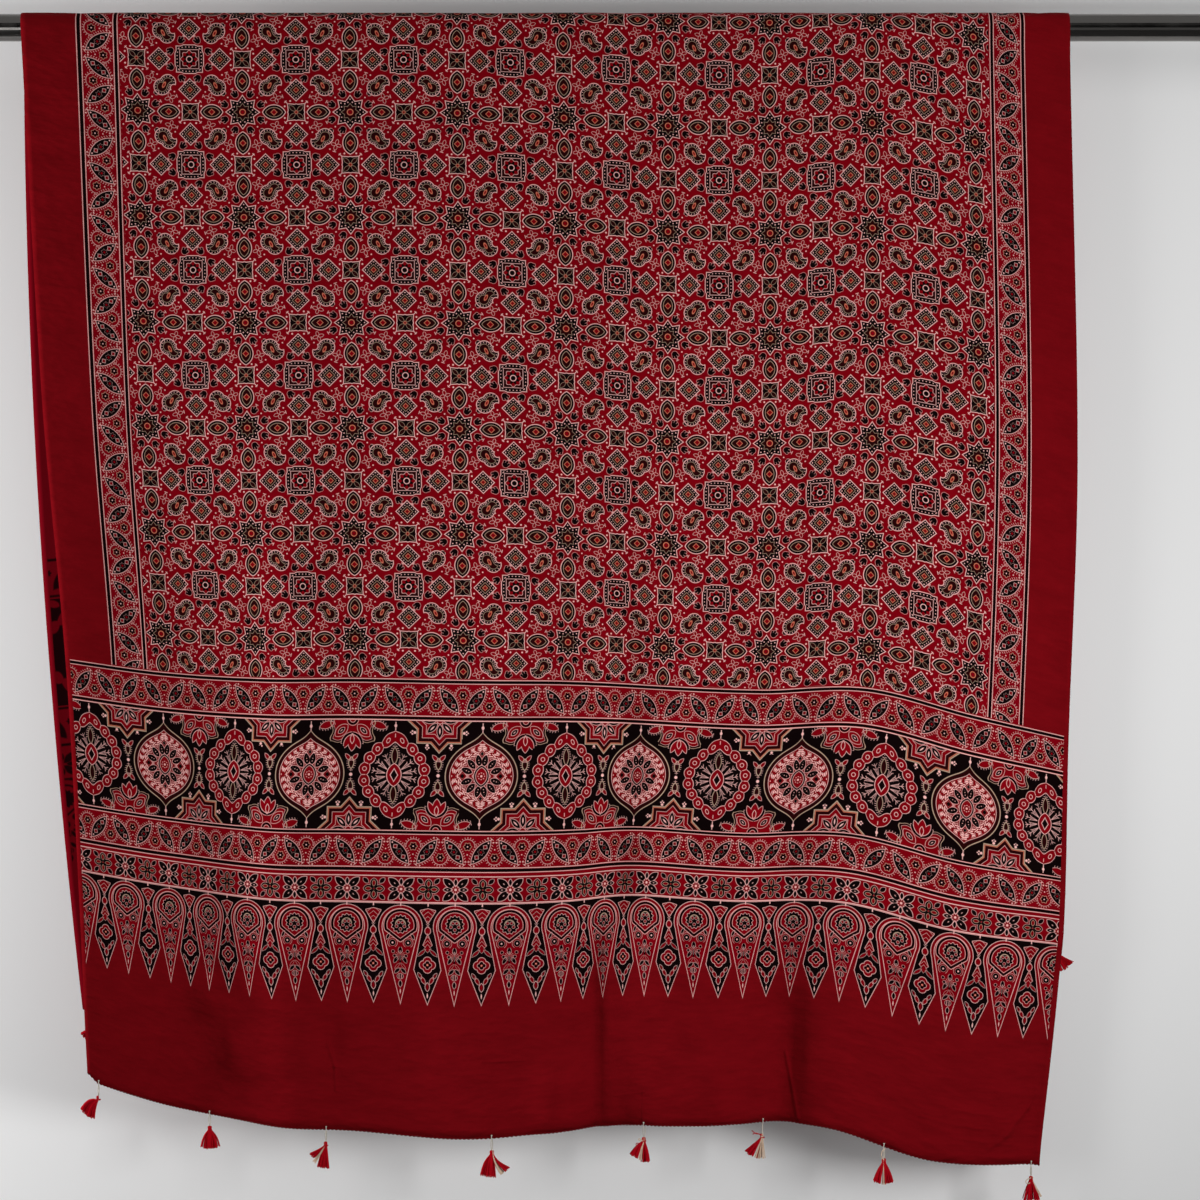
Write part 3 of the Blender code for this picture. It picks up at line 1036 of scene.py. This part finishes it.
def drop_heads(u, v):
    x, _, t, outlines = drop_places(u, v)
    onion = most(length(x, t - 23.2) - 15.0, x * 0.605 + (t - 38.4) * 0.796)
    flower = length(x, t - 22.0)
    lobes = flower - 8.7 + 0.7 * cosine(angle_of(x, t - 22.0) * 13.0)
    arc = most(line_ink(flower - 4.8, 0.5), t - 22.5)
    rosette = length(x - 7.7, t - 40.8)
    leaf = leaf_at(x - 12.2, t - 34.5, 64.0, 3.6, 1.5)
    berries = least(length(x, t - 27.0), length(x - 3.9, t - 24.2), length(x - 1.9, t - 20.4))
    return gather([outlines, {
        "black": least(line_ink(onion, 1.0), lobes, leaf, rosette - 3.2),
        "cream": least(
            line_ink(onion - 1.6, 0.5), line_ink(onion + 1.6, 0.45), line_ink(lobes, 0.5),
            line_ink(leaf, 0.40), line_ink(rosette - 4.9, 0.36), rosette - 1.1,
            line_ink(rosette - 3.2, 0.28),
        ),
        "olive": arc,
        "top_red": berries - 1.2,
        "top_cream": line_ink(berries - 1.5, 0.35),
    }])


def drop_tails(u, v):
    x, _, t, outlines = drop_places(u, v)
    top_bud = lens(size(t - 48.0), x, 3.6, 2.0)
    side_seeds = dots(x, t, 1.3, (7.2, 49.6), (5.6, 54.0))
    fan = most(size(fold_back(angle_of(x, t - 53.5), 0.22) * 6.0) - 0.45, length(x, t - 53.5) - 5.0)
    heart = most(length(x * 1.1, t - 57.0) - 3.6, 1.1 - size(x - 1.4) * 2.0)
    side_leaf = leaf_at(x - 4.6, t - 58.0, 62.0, 3.8, 1.8)
    vee = leaf_at(x - 3.0, t - 64.2, 50.0, 4.0, 1.1)
    pair = leaf_at(x - 3.1, t - 69.0, 45.0, 3.8, 1.8)
    last = most(length(x * 0.9, t - 74.5) - 2.7, 0.5 - size(x - 1.2))
    slim = lens(size(t - 82.0), x, 3.6, 1.8)
    tip = lens(size(t - 89.6), x, 3.2, 0.8)
    return gather([outlines, {
        "black": least(top_bud, side_seeds, heart, side_leaf, pair, last, slim),
        "cream": least(
            line_ink(vee, 0.30), line_ink(top_bud, 0.4), line_ink(side_seeds - 0.3, 0.35), fan,
            line_ink(pair, 0.4), line_ink(slim, 0.45), tip, line_ink(side_leaf, 0.38),
            line_ink(last - 0.2, 0.38),
        ),
    }])


def dark_heads(u, v):
    _, q, t, outlines = drop_places(u, v)
    palmette = most((q - (21.5 - t) * 0.60) * 0.86, 6.0 + q * 0.25 - t, q - 7.6)
    veins = most(fold_back(t - q * 0.85, 2.3) - 0.4, palmette)
    knot = most(size(q - size(t - 23.3) * 0.9) - 0.45, size(t - 23.3) - 2.0)
    bud_red = lens(size(t - 28.4), q, 4.0, 2.9)
    plume = most((q - (t - 31.5) * 0.42) * 0.86, t - 47.0 + q * 0.9)
    plume_veins = most(fold_back(t - q * 1.1, 1.9) - 0.4, plume)
    return gather([outlines, {
        "red": least(palmette, bud_red, plume),
        "cream": least(
            line_ink(palmette, 0.5), veins, knot, line_ink(bud_red, 0.5),
            line_ink(plume, 0.45), plume_veins,
        ),
    }])


def dark_tails(u, v):
    _, q, t, outlines = drop_places(u, v)
    gem = (q + size(t - 46.5)) * DIAGONAL
    wing = leaf_at(q - 5.8, t - 50.4, 42.0, 5.4, 1.6)
    y = size(t - 62.4)
    a, b = most(q, y), least(q, y)
    lobes = length(a - 3.8, b) - 4.3
    core = length(a - 2.2, b) - 2.1
    low_leaf = leaf_at(q - 7.6, t - 73.2, -58.0, 3.6, 1.6)
    pair = leaf_at(q - 4.2, t - 78.0, -62.0, 4.2, 1.8)
    slim = lens(size(t - 84.4), q, 4.4, 2.3)
    tip = lens(size(t - 93.2), q, 3.2, 0.9)
    return gather([outlines, {
        "red": least(gem - 2.3, lobes, pair, slim + 0.9, low_leaf + 0.8),
        "cream": least(
            line_ink(wing, 0.34), line_ink(gem - 2.6, 0.30),
            line_ink(lobes, 0.5), line_ink(core, 0.45), line_ink(pair, 0.4), line_ink(slim, 0.5),
            line_ink(low_leaf, 0.4), tip,
        ),
        "orange": length(q, y) - 1.0,
        "top_black": most(core + 0.3, 1.3 - length(q, y)),
        "top_red": most(wing + 0.5, q - 30.0),
    }])


def plain(u, v):
    return {}


# One letter for each cell of an eighth of the field's tile: rows are cells away from
# the line through the star, columns are cells along it, from the star's middle
FIELD_CELLS = [
    "AAEEEQ",
    " AFFDD",
    "  PPDD",
    "   PDD",
    "    CC",
    "     C",
]
FIELD_MOTIFS = {
    "A": ("star", [star, star_bud, loose_dots]),
    "E": ("eye", [eye, star_bud, small_square]),
    "Q": ("square", [small_square]),
    "F": ("flowers", [star_bud, cross_flower, paisley, loose_dots, eye]),
    "D": ("diamond", [diamond, small_square, cross_flower, square_bud, paisley, loose_dots]),
    "P": ("paisley", [paisley, cross_flower, loose_dots]),
    "C": ("centre", [centre_square, square_bud]),
}


def field_part(motifs):
    def draw(u, v):
        places = square_tiles(u, v)
        return gather([motif(*places) for motif in motifs])
    return draw


MEDALLION_PARTS = (ogee_medallion, scalloped_medallion, between_medallions)
DROP_PARTS = (drop_heads, drop_tails, dark_heads, dark_tails)
BORDER_PARTS = (
    side_border, upper_leaves, *MEDALLION_PARTS, lower_leaves, flower_squares, *DROP_PARTS
)

# How much finer than drawn the pale lines of the end borders came out
BORDER_THINNING = {
    side_border: 0.10, upper_leaves: 0.12, ogee_medallion: 0.10, scalloped_medallion: 0.08,
    between_medallions: 0.12, lower_leaves: 0.11, flower_squares: 0.13,
    drop_heads: 0.14, drop_tails: 0.17, dark_heads: 0.13, dark_tails: 0.13,
}


def ground_under(draw):
    """The dye under one part of an end border or side border."""
    if draw in MEDALLION_PARTS:
        return DEEP_BLACK
    return PLAIN_RED if draw in (side_border, *DROP_PARTS) else FIELD_RED


def node(tree, kind, **values):
    made = tree.nodes.new(kind)
    for name, value in values.items():
        setattr(made, name, value)
    return made


def ink_mask(distance, spread=0.0, softness=0.55):
    return maths("MULTIPLY_ADD", distance, -1.0 / softness, 0.5 + spread / softness, clamp=True)


def mixed(tree, share, first, second):
    mix = node(tree, "ShaderNodeMix", data_type="RGBA")
    if isinstance(first, tuple):
        mix.inputs["A"].default_value = (*first, 1.0)
    else:
        tree.links.new(first, mix.inputs["A"])
    mix.inputs["B"].default_value = (*second, 1.0)
    tree.links.new(share.socket, mix.inputs["Factor"])
    return mix.outputs["Result"]


def new_finish(name):
    """An empty material, whose measures are then made."""
    finish = bpy.data.materials.new(name)
    finish.use_nodes = True
    Measure.tree = finish.node_tree
    return finish, finish.node_tree


def print_place(tree):
    """The cloth's own map, and its places across and along in print units."""
    uv = node(tree, "ShaderNodeUVMap", uv_map="print")
    split = node(tree, "ShaderNodeSeparateXYZ")
    tree.links.new(uv.outputs["UV"], split.inputs["Vector"])
    return uv.outputs["UV"], Measure(split.outputs["X"]), Measure(split.outputs["Y"])


def noise(tree, place, scale, detail, roughness=0.5, stretch=None):
    """Cloudy unevenness, on the flat and drawn out where a stretch is given."""
    cloud = node(tree, "ShaderNodeTexNoise", noise_dimensions="2D" if stretch else "3D")
    cloud.inputs["Scale"].default_value = scale
    cloud.inputs["Detail"].default_value = detail
    cloud.inputs["Roughness"].default_value = roughness
    if stretch:
        drawn_out = node(tree, "ShaderNodeVectorMath", operation="MULTIPLY")
        drawn_out.inputs[1].default_value = (*stretch, 1.0)
        tree.links.new(place, drawn_out.inputs[0])
        place = drawn_out.outputs["Vector"]
    tree.links.new(place, cloud.inputs["Vector"])
    return Measure(cloud.outputs["Fac"])


def shaded(tree, colour, light):
    """A colour made lighter or darker."""
    shade = node(tree, "ShaderNodeVectorMath", operation="SCALE")
    if isinstance(colour, tuple):
        shade.inputs[0].default_value = colour
    else:
        tree.links.new(colour, shade.inputs[0])
    tree.links.new(light.socket, shade.inputs["Scale"])
    return shade.outputs["Vector"]


def raise_relief(tree, shader, height, strength, distance):
    bump = node(tree, "ShaderNodeBump")
    bump.inputs["Strength"].default_value = strength
    bump.inputs["Distance"].default_value = distance
    tree.links.new(height.socket, bump.inputs["Height"])
    tree.links.new(bump.outputs["Normal"], shader.inputs["Normal"])


def cloth_shader(tree, colour, roughness):
    """Cotton: matt, with a slight sheen."""
    shader = tree.nodes["Principled BSDF"]
    if isinstance(colour, tuple):
        shader.inputs["Base Color"].default_value = (*colour, 1.0)
    else:
        tree.links.new(colour, shader.inputs["Base Color"])
    shader.inputs["Roughness"].default_value = roughness
    shader.inputs["Specular IOR Level"].default_value = 0.02
    shader.inputs["Sheen Weight"].default_value = 0.01
    shader.inputs["Sheen Roughness"].default_value = 0.45
    shader.inputs["Sheen Tint"].default_value = (1.0, 0.30, 0.28, 1.0)
    return shader


def weave(u, v, ripple):
    """Height of soft ripples, and of threads crossing over and under."""
    threads = cosine(u * WEAVE_TURN) * cosine(v * WEAVE_TURN)
    return maths("MULTIPLY_ADD", threads, 0.02, ripple)


def creases(u, v):
    """Relief of the sharp creases in the plain end, in millimetres."""
    relief = 0.0
    for crease in CREASES:
        run = Vector((crease.u_end - crease.u, crease.v_end - crease.v))
        degrees = math.degrees(math.atan2(run.y, run.x))
        along, aside = turned(u - crease.u, v - crease.v, degrees)
        beyond = size(along - run.length / 2) - run.length / 2
        far = length(aside, most(beyond, 0.0)) / crease.half_width
        relief = maths("EXPONENT", far * far * -1.0) * crease.height + relief
    return relief


def print_material(name, draw, ground):
    """Printed cloth: each ink of the drawing over the last, then dye, painted sheen and weave."""
    thin = BORDER_THINNING.get(draw, 0.0)
    finish, tree = new_finish(name)
    place, u, v = print_place(tree)
    inks = draw(u, v)
    colour = ground
    for ink, ink_colour in INKS.items():
        if ink in inks:
            spread = INK_SPREAD.get(ink, 0.0) - (thin if "cream" in ink else 0.0)
            colour = mixed(tree, ink_mask(inks[ink], spread), colour, ink_colour)
    dye = noise(tree, place, 0.035, 2.5, 0.65, (0.6, 1.5))
    # painted sheen: the colour is made lighter along fine streaks across the cloth
    sheen_streaks = noise(tree, place, 0.16, 2.0, 0.5, (0.30, 1.6))
    depth = maths("MULTIPLY_ADD", dye, DYE_CLOUDS, DARKEST_DYE)
    depth = maths("MULTIPLY_ADD", sheen_streaks, SHEEN_STREAKS, depth)
    shader = cloth_shader(tree, shaded(tree, colour, depth), 0.85)
    ripple = dye * 3.0
    if draw is plain:
        ripple = ripple + creases(u, v)
    raise_relief(tree, shader, weave(u, v, ripple), 1.0, 0.001)
    return finish


def reverse_material(name, draw, ground):
    """The cloth's other side, where only the dark dyes have come through, and softly."""
    finish, tree = new_finish(name)
    _, u, v = print_place(tree)
    inks = draw(u, v)
    colour = REVERSE_DARK if ground == DEEP_BLACK else REVERSE_RED
    for ink in ("black", "maroon", "red", "top_black"):
        if ink in inks:
            come_through = REVERSE_RED if ink == "red" else REVERSE_DARK
            colour = mixed(tree, ink_mask(inks[ink], 0.0, 1.6), colour, come_through)
    cloth_shader(tree, colour, 0.9)
    return finish


def places_between(stops, step):
    """Evenly spaced places between each stop and the next, at most a step apart."""
    places = [stops[0]]
    for start, end in zip(stops, stops[1:]):
        count = max(1, math.ceil((end - start) / step - 0.01))
        places += [start + (end - start) * (i + 1) / count for i in range(count)]
    return places


def grid_across():
    cells = round(PRINT_EDGE / STRIP)
    half = [STRIP * i for i in range(cells + 1) if abs(STRIP * i - FIELD_EDGE) > STRIP / 4]
    half = sorted(half + [FIELD_EDGE, CLOTH_WIDTH / 2 / PRINT_UNIT])
    return [-place for place in reversed(half[1:])] + half


def grid_along():
    border = [
        BORDER_START, UPPER_LEAVES_END, *MEDALLION_ROWS, MEDALLIONS_END, LOWER_LEAVES_END,
        SQUARES_END, DROP_HEADS_END, DROPS_END,
    ]
    first, last = math.ceil((BACK_PALLU + 4) / ROW), math.floor((FRONT_PALLU - 4) / ROW)
    field = [ROW * i for i in range(first, last + 1)]
    back = [BACK_HEM / PRINT_UNIT] + [BACK_PALLU - place for place in reversed(border)]
    front = [FRONT_PALLU + place for place in border] + [FRONT_HEM / PRINT_UNIT]
    return places_between(back, ROW) + field + places_between(front, ROW)


def field_region(u, v):
    i = math.floor(abs(u) / STRIP) % CELLS_EACH_WAY
    j = math.floor(abs(v) / ROW) % CELLS_EACH_WAY
    i, j = min(i, CELLS_EACH_WAY - 1 - i), min(j, CELLS_EACH_WAY - 1 - j)
    return FIELD_MOTIFS[FIELD_CELLS[min(i, j)][max(i, j)]][0]


def folded(value, half_pitch):
    value = abs(value) % (2 * half_pitch)
    return min(value, 2 * half_pitch - value)


def medallion_region(u, w):
    place, away = folded(u, MEDALLION_STEP), abs(w - MEDALLIONS_MIDDLE)
    reach = next(aside for far, aside in MEDALLION_REACH if away < far)
    if place < reach:
        return "scalloped_medallion"
    if place > MEDALLION_STEP - reach:
        return "ogee_medallion"
    return "between_medallions"


def drop_region(u, w):
    place, upper = folded(u, DROP_HALF_PITCH), w < DROP_HEADS_END
    if place < (DROP_HEAD_REACH if upper else DROP_TAIL_REACH):
        return "drop_heads" if upper else "drop_tails"
    return "dark_heads" if upper else "dark_tails"


def region_at(u, v):
    """The name of the part of the print at one place."""
    if abs(u) > PRINT_EDGE:
        return "plain"
    w = max(v - FRONT_PALLU, BACK_PALLU - v)
    if w < BORDER_START:
        if abs(u) < FIELD_EDGE:
            return field_region(u, v)
        return "side_border" if abs(u) < SIDE_BORDER_END else "plain"
    if w < UPPER_LEAVES_END:
        return "upper_leaves"
    if w < MEDALLIONS_END:
        return medallion_region(u, w)
    if w < LOWER_LEAVES_END:
        return "lower_leaves"
    if w < SQUARES_END:
        return "flower_squares"
    return drop_region(u, w) if w < DROPS_END else "plain"


def add_object(name, data):
    made = bpy.data.objects.new(name, data)
    bpy.context.collection.objects.link(made)
    return made


def object_from(bm, name):
    mesh = bpy.data.meshes.new(name)
    bm.to_mesh(mesh)
    bm.free()
    return add_object(name, mesh)


def make_cloth():
    across = grid_across()
    along = grid_along()
    parts = {"plain": (plain, PLAIN_RED)}
    for name, motifs in FIELD_MOTIFS.values():
        parts[name] = (field_part(motifs), FIELD_RED)
    for draw in BORDER_PARTS:
        parts[draw.__name__] = (draw, ground_under(draw))
    names = list(parts)
    bm = bmesh.new()
    bmesh.ops.create_grid(bm, x_segments=len(across) - 1, y_segments=len(along) - 1, size=1.0)
    flat = bm.loops.layers.uv.new("print")
    spots = {}
    for vert in bm.verts:
        u = across[round((vert.co.x + 1) / 2 * (len(across) - 1))]
        v = along[round((vert.co.y + 1) / 2 * (len(along) - 1))]
        spots[vert] = (u, v)
        vert.co = hang(u * PRINT_UNIT, v * PRINT_UNIT)
    for face in bm.faces:
        u = sum(spots[vert][0] for vert in face.verts) / 4
        v = sum(spots[vert][1] for vert in face.verts) / 4
        face.material_index = names.index(region_at(u, v))
        face.smooth = True
        for loop in face.loops:
            loop[flat].uv = spots[loop.vert]
    bmesh.ops.reverse_faces(bm, faces=bm.faces)
    cloth = object_from(bm, "ajrakh_cloth")
    for name, (draw, ground) in parts.items():
        cloth.data.materials.append(print_material("print_" + name, draw, ground))
    plain_reverse = reverse_material("reverse_plain", plain, PLAIN_RED)
    for name, (draw, ground) in parts.items():
        drawn = draw in BORDER_PARTS
        reverse = reverse_material("reverse_" + name, draw, ground) if drawn else plain_reverse
        cloth.data.materials.append(reverse)
    thick = cloth.modifiers.new("thickness", "SOLIDIFY")
    thick.material_offset = len(parts)
    thick.thickness = FABRIC_THICKNESS
    thick.offset = 0.0
    return cloth


def yarn_material(name, colour, roughness=0.85):
    """Yarn or thread, with lighter and darker fibres along it."""
    finish, tree = new_finish(name)
    place = node(tree, "ShaderNodeTexCoord").outputs["Object"]
    fibres = noise(tree, place, 900.0, 2.0)
    light = maths("MULTIPLY_ADD", fibres, 0.7, 0.65)
    shader = cloth_shader(tree, shaded(tree, colour, light), roughness)
    raise_relief(tree, shader, fibres, 0.5, 0.0003)
    return finish


def chrome_material():
    """Polished chrome with worn patches and fine scratches."""
    finish, tree = new_finish("worn_chrome")
    place = node(tree, "ShaderNodeTexCoord").outputs["Object"]
    wear = noise(tree, place, 45.0, 8.0, 0.7)
    shader = tree.nodes["Principled BSDF"]
    shader.inputs["Base Color"].default_value = (*CHROME, 1.0)
    shader.inputs["Metallic"].default_value = 1.0
    rough = maths("MULTIPLY_ADD", wear, 0.34, 0.02)
    tree.links.new(rough.socket, shader.inputs["Roughness"])
    raise_relief(tree, shader, wear, 0.25, 0.0004)
    return finish


def thread_piece(name, strands, finishes, radius):
    """A mesh of round threads, each given as its places and the name of its finish."""
    curve = bpy.data.curves.new(name, "CURVE")
    curve.dimensions = "3D"
    curve.bevel_depth = radius
    curve.bevel_resolution = 1
    curve.resolution_u = 2
    curve.use_fill_caps = True
    names = list(finishes)
    for finish in finishes.values():
        curve.materials.append(finish)
    for places, finish in strands:
        line = curve.splines.new("NURBS")
        line.points.add(len(places) - 1)
        line.order_u = 3
        line.use_endpoint_u = True
        line.material_index = names.index(finish)
        for spot, place in zip(line.points, places):
            spot.co = (place[0], place[1], place[2], 1.0)
            spot.radius = place[3] if len(place) > 3 else 1.0
    drawn = add_object(name + "_line", curve)
    shown = drawn.evaluated_get(bpy.context.evaluated_depsgraph_get())
    piece = add_object(name, bpy.data.meshes.new_from_object(shown))
    bpy.data.objects.remove(drawn)
    return piece


def hem_frame(across, hem):
    """A place on a hem, with the cloth's downward way and its normal there."""
    inward = 0.02 if hem < 0 else -0.02
    point = hang(across, hem)
    down = (point - hang(across, hem + inward)).normalized()
    edge = CLOTH_WIDTH / 2
    side = hang(min(across + 0.01, edge), hem) - hang(max(across - 0.01, -edge), hem)
    return point, down, side.cross(down).normalized()


def tie_strands(point, down, normal):
    """The tie's loop through the hem, its two threads a little apart, and its knot."""
    front = -normal if normal.y > 0 else normal
    bend = point - Vector((0, 0, TIE_LENGTH))
    swing = Vector((THREADS_APART, 0, 0))
    loop = []
    for way, sign in ((front, -1), (-front, 1)):
        half = [
            point - down * TIE_RISE + way * 0.0009,
            point + way * TIE_REACH,
            point - Vector((0, 0, TIE_LENGTH * 0.5)) + way * 0.0010 + swing * sign,
            bend + way * 0.0007 + swing * sign * 0.6,
        ]
        loop += half if sign < 0 else [bend - Vector((0, 0, 0.0010))] + half[::-1]
    knot = []
    middle = point - down * TIE_RISE * 0.8 + front * 0.0011
    for i in range(9):
        turn = i * math.pi * 0.45
        aside = Vector((math.cos(turn), 0, math.sin(turn) * 0.8)) * 0.0006
        knot.append(middle + aside + front * 0.00012 * (i % 3))
    return [(loop, "thread"), (knot, "thread")]


def lock_strands(lock, top, rng):
    """Strands over the tie's loop, through the neck and down the lock, unevenly cut."""
    strands = []
    for i in range(lock.strands):
        share = (i + 0.5) / lock.strands
        degrees = lock.start + (lock.end - lock.start) * share + rng.uniform(-2.0, 2.0)
        side = max(-1.0, min(1.0, degrees / 35.0 + rng.uniform(-0.5, 0.5)))
        depth = rng.uniform(-1.0, 1.0)
        places = [
            Vector((side * 0.6, depth * 0.6, 0.1)), Vector((side * 1.7, depth * 1.0, 0.3)),
            Vector((side * 1.8, depth * 1.2, -1.8)), Vector((side * 1.3, depth * 1.0, -3.6)),
        ]
        reach = (lock.length + 1.5) * rng.uniform(0.94, 1.02)
        for part in (0.3, 0.65, 1.0):
            angle = math.radians(degrees * (1.0 - lock.flare * (1.0 - part)))
            spread = depth * (1.0 + 1.8 * part)
            places.append(Vector((
                places[3].x + math.sin(angle) * reach * part, spread,
                -3.6 - math.cos(angle) * reach * part,
            )))
        strands.append(([top + place * MM for place in places], lock.yarn))
    return strands


def neck_binding(top):
    """Yarn wound round the tassel's neck, in millimetres from its top."""
    neck = []
    for i in range(14):
        turn = i * math.pi / 4
        place = Vector((math.cos(turn) * 1.9, math.sin(turn) * 1.6, -3.2 - 0.06 * i))
        neck.append(top + place * MM)
    return neck


def make_tassels(side, hem, all_locks, loose, yarns, threads):
    for number, (tassel, locks) in enumerate(zip(TASSELS, all_locks), start=1):
        point, down, normal = hem_frame(tassel.across * MM, hem)
        tie = thread_piece(
            f"thread_{side}_{number}", tie_strands(point, down, normal), threads, THREAD_RADIUS
        )
        place_piece(tie, f"tie_{side}_{number}")
        top = point - Vector((0, 0, TIE_LENGTH + TASSEL_BELOW_TIE))
        rng = random.Random(number)
        strands = []
        for lock in locks:
            strands += lock_strands(lock, top, rng)
        for yarn, places in loose.get(number, []):
            strands.append(([top + Vector((x, -1.5, z)) * MM for x, z in places], yarn))
        strands.append((neck_binding(top), "red"))
        yarn = thread_piece(f"yarn_{side}_{number}", strands, yarns, STRAND_RADIUS)
        place_piece(yarn, f"tassel_{side}_{number}")


def make_hem(name, hem, finishes):
    """The rolled hem, drawn in by a stitch every few millimetres."""
    count = round(CLOTH_WIDTH / STITCH)
    places = []
    for i in range(count + 1):
        spot = hang(-CLOTH_WIDTH / 2 + CLOTH_WIDTH * i / count, hem)
        spot.z -= SCALLOP * (i % 2)
        places.append((*spot, SWELL_OF_HEM if i % 2 else PINCH_OF_HEM))
    return thread_piece(name, [(places, "hem")], finishes, HEM_RADIUS)


def place_piece(piece, replaced):
    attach(piece, "root")
    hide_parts(replaced)


def make_camera():
    camera = add_object("camera", bpy.data.cameras.new("camera"))
    camera.data.sensor_width = 36.0
    camera.data.lens = CAMERA_LENS
    camera.location = CAMERA_PLACE
    camera.rotation_euler = (math.pi / 2, 0.0, 0.0)
    bpy.context.scene.camera = camera


def area_light(name, place, aim, width, height, power, spread, in_chrome):
    data = bpy.data.lights.new(name, "AREA")
    data.shape = "RECTANGLE"
    data.size = width
    data.size_y = height
    data.energy = power
    data.spread = math.radians(spread)
    light = add_object(name, data)
    light.visible_glossy = in_chrome
    light.location = place
    light.rotation_euler = (Vector(aim) - Vector(place)).to_track_quat("-Z", "Y").to_euler()


def stage_plane(name, width, height, place, turn, colour):
    bm = bmesh.new()
    bmesh.ops.create_grid(bm, x_segments=1, y_segments=1, size=0.5)
    bmesh.ops.scale(bm, vec=(width, height, 1.0), verts=bm.verts)
    bmesh.ops.rotate(bm, matrix=Matrix.Rotation(turn, 3, "X"), verts=bm.verts)
    bmesh.ops.translate(bm, vec=place, verts=bm.verts)
    plane = object_from(bm, name)
    finish, tree = new_finish(name)
    tree.nodes["Principled BSDF"].inputs["Base Color"].default_value = (*colour, 1.0)
    tree.nodes["Principled BSDF"].inputs["Roughness"].default_value = 0.9
    plane.data.materials.append(finish)


def make_world():
    world = bpy.data.worlds.new("studio")
    world.use_nodes = True
    world.node_tree.nodes["Background"].inputs["Color"].default_value = (1.0, 1.0, 1.0, 1.0)
    world.node_tree.nodes["Background"].inputs["Strength"].default_value = 0.40
    bpy.context.scene.world = world


make_camera()
make_world()
bpy.context.scene.view_settings.view_transform = "Standard"
area_light("key_right", (2.0, -1.5, -0.70), (0.75, 0.0, -0.68), 0.6, 0.6, 5.7, 85, False)
area_light("wall_right", (1.55, -0.55, 0.10), (1.28, 0.085, 0.00), 0.3, 0.3, 0.30, 100, False)
area_light("key_left", (-0.5, -1.7, -0.70), (0.6, 0.0, -0.68), 0.7, 0.7, 1.6, 85, True)
area_light("wall_left", (-0.75, -0.15, -0.6), (0.1, 0.085, -0.6), 0.2, 1.6, 13, 150, False)
stage_plane("backdrop", 6.0, 5.0, (0.7, 0.085, -0.3), math.pi / 2, WALL_WHITE)
stage_plane("floor", 6.0, 6.0, (0.7, -2.0, -1.75), 0.0, FLOOR_GREY)
stage_plane("dark_room", 5.0, 2.4, (0.7, -4.2, 0.6), math.pi / 2, ROOM_DARK)

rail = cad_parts["rail"]
rail.data.materials.clear()
rail.data.materials.append(chrome_material())

hem_finish = {"hem": yarn_material("rolled_hem", HEM_RED, 0.9)}
hems = [make_hem("hem_front", FRONT_HEM, hem_finish), make_hem("hem_back", BACK_HEM, hem_finish)]
for hem in hems:
    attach(hem, "root")

cloth = make_cloth()
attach(cloth, "root")
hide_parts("cloth")

yarns = {name: yarn_material("yarn_" + name, colour) for name, colour in YARNS.items()}
threads = {"thread": yarn_material("tie_thread", THREAD)}
make_tassels("front", FRONT_HEM, FRONT_LOCKS, FRONT_LOOSE, yarns, threads)
make_tassels("back", BACK_HEM, BACK_LOCKS, {}, yarns, threads)
